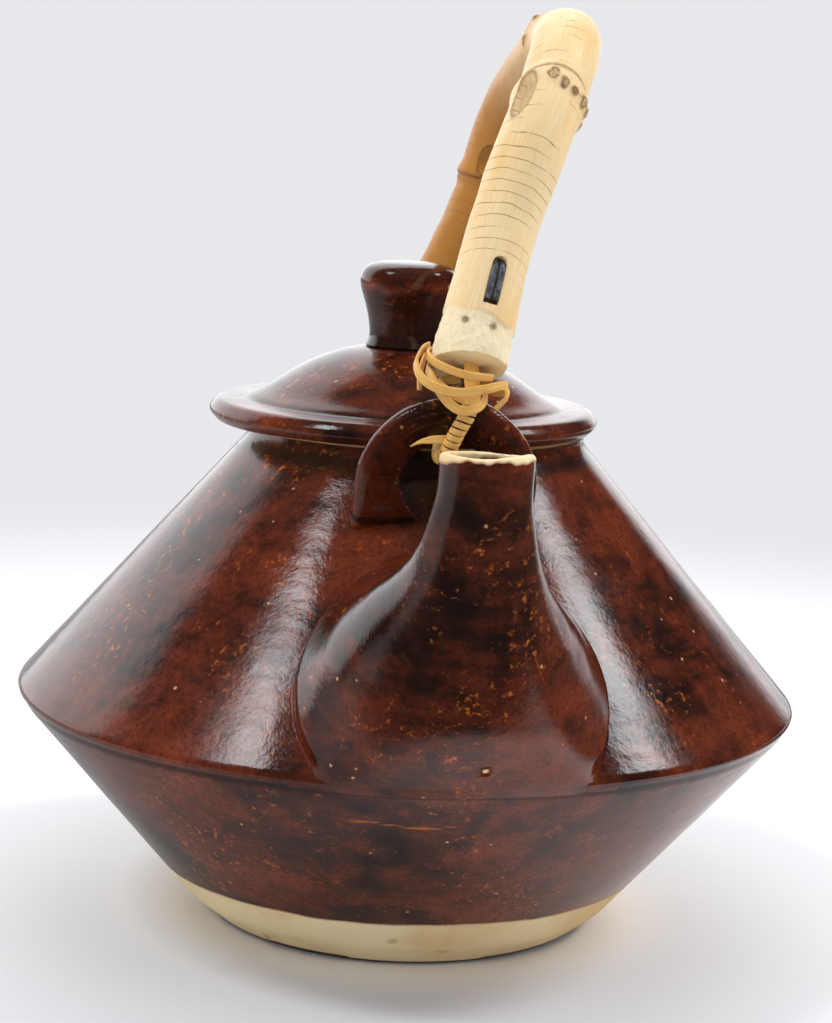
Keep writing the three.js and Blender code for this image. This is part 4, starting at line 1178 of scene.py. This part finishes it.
# The strips of split cane in a tie, as width, thickness, and a course of points given as sideways,
# distance from the pot's axis, and height above the lug
TIE_STRIPS = [
    # Loose bight under the bail's end, round behind, and down over the wound wire
    (2.1, 0.7, [
        (-8.6, 52.4, 9.6), (-10.4, 55.6, 8.8), (-11.9, 59.6, 6.2), (-10.6, 63.4, 3.5), (-7.0, 65.6, 2.0),
        (-2.1, 66.6, 1.9), (3.2, 65.6, 3.3), (6.8, 62.6, 4.2), (8.7, 59.2, 3.9), (8.3, 57.2, 2.4),
        (6.0, 55.4, 2.2), (2.0, 52.6, 3.2), (-2.6, 50.2, 4.2), (-6.8, 51.6, 4.8), (-8.6, 55.6, 4.9),
        (-8.2, 60.0, 4.0), (-6.7, 63.4, 1.6), (-4.1, 65.5, -0.9), (-1.2, 66.6, -2.0), (2.2, 65.4, -0.9),
        (4.0, 62.6, 1.2), (4.2, 59.4, 2.0), (2.2, 56.6, 2.2)]),
    # Second wrap
    (1.8, 0.7, [
        (-6.4, 50.8, 8.2), (-8.4, 54.0, 8.8), (-9.4, 58.4, 8.2), (-8.2, 62.0, 7.2), (-4.8, 63.8, 6.2),
        (-0.8, 64.4, 5.6), (3.0, 63.4, 5.6), (5.0, 60.6, 5.4), (4.4, 56.4, 4.4), (1.0, 53.2, 3.6),
        (-3.4, 53.2, 3.0), (-5.6, 56.6, 2.8), (-5.4, 60.8, 2.1), (-3.4, 64.2, 0.9), (-0.6, 65.4, 0.2),
        (1.8, 64.2, 0.8), (3.0, 61.6, 1.6)]),
    # Tail behind, side loop, and the flat strip in front of the wire
    (1.9, 0.7, [(-8.4, 51.2, 8.8), (-9.2, 51.2, 5.6), (-9.4, 51.6, 2.4), (-9.1, 52.2, -0.4)]),
    (1.9, 0.6, [
        (4.6, 60.2, 2.6), (6.8, 60.8, 3.7), (8.5, 61.4, 3.3), (8.6, 61.9, 1.8), (7.6, 62.0, 0.2),
        (6.6, 61.8, -1.2)]),
    (3.6, 0.6, [(0.4, 58.4, 7.6), (0.5, 61.0, 5.3), (0.7, 63.2, 3.0), (0.8, 65.0, 1.0), (0.7, 65.6, -0.8)]),
]
TIP_STRIP = (2.0, 0.7, [
    (-2.0, 61.4, -9.2), (-4.4, 61.8, -9.4), (-6.6, 61.5, -9.9), (-8.6, 61.0, -10.7), (-10.3, 60.5, -12.0)])
# A tip's width by its place from 0 to 1
TIP_TAPER = [0, 0.45, 1], [1, 0.9, 0.06]


def place_at(end, reach, height, sideways):
    return AXIS + end.up * height + end.out * reach + end.across * sideways


def wire_line(end):
    """Centre line of the hairpin of wire."""
    neck = (end.centre - AXIS) @ end.up - BAR_TOP
    half = WIRE_SPACING / 2
    slot_floor = CANE_RADIUS + 0.62 - WIRE_RADIUS
    fold = SLOT_START + SLOT_LENGTH

    def in_leg(sign):
        places = [
            (SLOT_START + 1, slot_floor), (fold - 4, slot_floor), (fold - 1.2, slot_floor - 0.5),
            (fold + 0.6, slot_floor / 2), (fold - 1.2, 0.5), (fold - 5, -0.8), (SLOT_START / 3, -EXIT_BACK)]
        return [end.centre + end.inwards * a + end.front * b + end.side * sign * half for a, b in places]

    def strand(far, turned):
        def at(share, height, sideways):
            """A place above the lug, where the strand nears the middle of the bail's end face."""
            reach = far + (abs(end.centre[1]) - far) * (0.15 + 0.87 * share)
            return place_at(end, reach, height, sideways)

        return [
            at(0.8, BAR_TOP + 0.8 * neck, half * 0.7 * turned + 0.3),
            at(0.2, BAR_TOP + 0.2 * neck, 0.2 * turned + 0.9),
            at(-0.13, BAR_MIDDLE + 2.2, 0.6),
            place_at(end, far, BAR_MIDDLE - 1, -0.7),
            place_at(end, BAR_REACH + (far - BAR_REACH) * 0.66, IN_HOLE + 0.9, -2.3)]

    turned = np.sign(end.side @ end.across)
    points = [*in_leg(turned), *strand(OUTER_REACH, 1), place_at(end, BAR_REACH, IN_HOLE - 0.6, -2.8),
              *strand(INNER_REACH, -1)[::-1], *in_leg(-turned)[::-1]]
    return spaced(catmull(points, 16), WIRE_STEP)


def swept(name, line, sections, normals, others, along):
    """A solid along a line. Sections hold each row's outline as (row, around, 2)."""
    rings = line[:, None] + sections[..., :1] * normals[:, None] + sections[..., 1:] * others[:, None]
    row_place = np.broadcast_to(along[:, None, None], (*sections.shape[:2], 1))
    straight = np.concatenate([sections, row_place], -1).reshape(-1, 3)
    return solid(name, rings, straight=np.vstack([straight, [0, 0, along[0]], [0, 0, along[-1]]]))


def make_wire(name, node, end):
    line = wire_line(end)
    angle = round_angles(WIRE_SIDES)
    section = np.stack([np.cos(angle), np.sin(angle)], 1) * WIRE_RADIUS
    sections = np.broadcast_to(section, (len(line), *section.shape))
    wire = swept(name, line, sections, *transported(line, end.across)[1:], distances(line))
    settle(wire, "handle", node, IRON)


def make_winding(name, node, end):
    line = wire_line(end)
    wound = np.flatnonzero((line - AXIS) @ end.up < WINDING_TOP)
    line = spaced(line[wound[0]:wound[-1] + 1], STRIP_STEP)
    turns = distances(line)[-1] / WINDING_PITCH
    winding = drawn_line(name, line)
    grow(winding, WINDING, Turns=turns, Steps=int(turns * WINDING_STEPS), Coil_radius=COIL_RADIUS * MM,
         Strip_width=WINDING_WIDTH * MM, Strip_thickness=WINDING_THICKNESS * MM, Finish=CANE)
    face_outwards(winding)
    x, y, z = points_of(winding).T
    set_traits(winding, straight=np.stack([x, z, y * 3], 1))
    settle(winding, "handle", node, CANE)


def strip_section(width, thickness, corner=0.3):
    """A flat strip's section with rounded corners: thickness first, then width."""
    outline = []
    for sx, sy in ((1, 1), (-1, 1), (-1, -1), (1, -1)):
        for k in range(4):
            a = math.atan2(sy, sx) - math.pi / 4 + math.pi / 2 * k / 3
            outline.append((sx * (thickness / 2 - corner * 0.8) + corner * 0.8 * math.cos(a),
                            sy * (width / 2 - corner) + corner * math.sin(a)))
    return np.array(outline)


def strip(name, end, width, thickness, course, taper=([0, 1], [1, 1])):
    """A flat strip of cane on a course round the wire, its flat side towards the wire."""
    points = [place_at(end, reach, BAR_TOP + height, sideways) for sideways, reach, height in course]
    line = spaced(catmull(points, 24), STRIP_STEP)
    core = (end.centre + place_at(end, 57, BAR_TOP, 0)) / 2
    tangents = unit(np.gradient(line, axis=0))
    away = line - core
    normals = unit(away - (away @ end.up)[:, None] * end.up)
    normals = unit(normals - tangents * (normals * tangents).sum(1)[:, None])
    # The turn of the strip is evened out along it
    kernel = np.ones(9) / 9
    normals = unit(np.stack([np.convolve(np.pad(part, 4, "edge"), kernel, "valid") for part in normals.T], 1))
    scale = np.interp(np.linspace(0, 1, len(line)), *taper)
    sections = strip_section(width, thickness)[None] * np.stack([0.5 + scale / 2, scale], 1)[:, None]
    along = np.linspace(0, len(line) * STRIP_STEP, len(line))
    return swept(name, line, sections, normals, np.cross(tangents, normals), along)


def make_tie(name, node, end):
    tie, *others = [strip(name, end, *form) for form in TIE_STRIPS]
    joined(tie, [*others, strip("tip", end, *TIP_STRIP, TIP_TAPER)])
    settle(tie, "handle", node, CANE)


make_pot()
make_spout()
make_lug("pulled_lug_front", "lug_front", False)
make_lug("pulled_lug_rear", "lug_rear", True)
make_lid()
make_knob()
make_bail()
for where, rear in (("front", False), ("rear", True)):
    the_end = bail_end(rear)
    make_wire(f"hanging_wire_{where}", f"wire_loop_{where}", the_end)
    make_winding(f"cane_wound_{where}", f"cane_winding_{where}", the_end)
    make_tie(f"cane_binding_{where}", f"cane_tie_{where}", the_end)


# Floor, light and camera

BACKDROP, WHITE_PAPER, DARK_FLOOR = (0.80, 0.81, 0.83, 1), (0.84, 0.84, 0.85, 1), (0.05, 0.045, 0.04, 1)
DAYLIGHT, DARK_ROOM = (0.95, 0.96, 1.0, 1), (0.03, 0.027, 0.026, 1)
PAPER_BEHIND, SOFT_SPOT = (1.7, 1.72, 1.77, 1), (9.5, 9.6, 9.9, 1)
SPOT_DIRECTIONS = [(-0.55, -0.12, 0.826), (0.70, 0.02, 0.714)]
SPOT_REACH, SPOT_CORE = math.cos(math.radians(8)), math.cos(math.radians(1))
FLOOR_SIZE = 4000

# The photograph's camera: in front of the spout, a little to its left and above, rolled slightly
CAMERA_TURN, CAMERA_DISTANCE, CAMERA_HEIGHT = math.radians(-7.5), 617.5, 201.1
CAMERA_YAW, CAMERA_PITCH, CAMERA_ROLL = 0.001 - CAMERA_TURN, 0.164, 0.045
FOCAL_PIXELS, IMAGE_HEIGHT, SENSOR = 2573.4, 1023, 36


def make_floor():
    """White paper. It runs into the backdrop behind, and only reflections see where it ends in front."""
    size = FLOOR_SIZE
    corners = [(-size, -size, 0), (size, -size, 0), (size, size, 0), (-size, size, 0)]
    floor = piece("floor", corners, [(0, 1, 2, 3)])
    material, n, shader = new_finish("white paper")
    place = object_place(n)
    x, y, _ = n.add("ShaderNodeSeparateXYZ", Vector=place).outputs
    ray = n.add("ShaderNodeLightPath").outputs
    paper = n.times(n.band(y, -0.175, -0.135), n.band(x, -0.07, 0.05, 0.45, 1.0))
    right = n.times(n.band(x, 0.15, 0.22), n.band(y, 0.35, 0.6, 1.0, 0.0))
    paper = n.times(paper, n.minus(1.0, right))
    paper = n.maths("MAXIMUM", n.minus(1.0, ray["Is Glossy Ray"]), paper)
    n.feed(shader, Base_Color=n.blend(paper, DARK_FLOOR, WHITE_PAPER), Roughness=0.8, Specular_IOR_Level=0.2)
    fade = n.times(ray["Is Camera Ray"], n.band(n.vectors("LENGTH", place)["Value"], 0.22, 0.62))
    glow = n.result("ShaderNodeEmission", Color=BACKDROP)
    n.feed(n.output, Surface=n.result("ShaderNodeMixShader", i0=fade, i1=shader.outputs[0], i2=glow))
    floor.data.materials.append(material)


def make_world():
    world = bpy.data.worlds.new("studio")
    bpy.context.scene.world = world
    world.use_nodes = True
    world.node_tree.nodes.clear()
    n = Nodes(world.node_tree)
    direction = n.add("ShaderNodeTexCoord").outputs["Generated"]
    x, y, z = n.add("ShaderNodeSeparateXYZ", Vector=direction).outputs
    # Reflections see white paper behind the pot, reaching further round on the left, a dark room in
    # front, and two soft spots above
    behind = n.band(n.minus(y, n.times(x, 0.3)), 0.54, 0.72)
    level = n.maths("MAXIMUM", behind, n.band(z, 0.2, 1.0, 0.0, 0.05))
    room = n.blend(level, DARK_ROOM, PAPER_BEHIND)
    for spot_direction in SPOT_DIRECTIONS:
        facing = n.vectors("DOT_PRODUCT", direction, i1=spot_direction)["Value"]
        room = n.blend(n.band(facing, SPOT_REACH, SPOT_CORE), room, SOFT_SPOT)
    # Light that falls on the pot comes from all round
    even = n.result("ShaderNodeBackground", Color=DAYLIGHT, Strength=0.8)
    mirrored = n.result("ShaderNodeBackground", Color=room, Strength=1.0)
    backdrop = n.result("ShaderNodeBackground", Color=BACKDROP, Strength=1.0)
    ray = n.add("ShaderNodeLightPath").outputs
    light = n.result("ShaderNodeMixShader", i0=ray["Is Glossy Ray"], i1=even, i2=mirrored)
    seen = n.result("ShaderNodeMixShader", i0=ray["Is Camera Ray"], i1=light, i2=backdrop)
    n.add("ShaderNodeOutputWorld", Surface=seen)


def aim(obj, right, up, back, place):
    """Puts an object at a place in metres, with its three axes along the directions given."""
    matrix = np.eye(4)
    matrix[:3] = np.stack([right, up, back, place], 1)
    obj.matrix_world = Matrix(matrix)


def make_lamp(name, place, target, size, power):
    """A lamp that reflections don't show."""
    lamp = bpy.data.lights.new(name, "AREA")
    lamp.shape = "RECTANGLE"
    lamp.size, lamp.size_y = size
    lamp.energy = power
    obj = placed(name, lamp)
    back = unit(np.array(place, float) - np.array(target, float))
    side = unit(np.cross([0, 0, 1], back))
    aim(obj, side, np.cross(back, side), back, place)
    obj.visible_glossy = False


def make_camera():
    turn, distance, height = CAMERA_TURN, CAMERA_DISTANCE, CAMERA_HEIGHT
    place = np.array([math.sin(turn) * distance, -math.cos(turn) * distance, height]) * MM
    level = math.cos(CAMERA_PITCH)
    look = np.array([math.sin(CAMERA_YAW) * level, math.cos(CAMERA_YAW) * level, -math.sin(CAMERA_PITCH)])
    right = unit(np.cross(look, [0, 0, 1]))
    up = np.cross(right, look)
    c, s = math.cos(CAMERA_ROLL), math.sin(CAMERA_ROLL)
    data = bpy.data.cameras.new("camera")
    data.sensor_width = SENSOR
    data.lens = FOCAL_PIXELS * SENSOR / IMAGE_HEIGHT
    data.clip_start, data.clip_end = 0.01, 50
    camera = placed("camera", data)
    aim(camera, right * c + up * s, up * c - right * s, -look, place)
    bpy.context.scene.camera = camera


make_floor()
make_world()
make_lamp("key", place=(-0.78, -0.14, 1.20), target=(0, 0, 0.08), size=(0.28, 0.28), power=7)
make_lamp("fill", place=(0.95, -0.02, 1.05), target=(0, 0, 0.08), size=(0.30, 0.36), power=8)
make_lamp("back", place=(0.2, 1.2, 0.9), target=(0, 0, 0.1), size=(1.4, 0.6), power=6)
make_camera()
bpy.context.scene.view_settings.view_transform = "Standard"
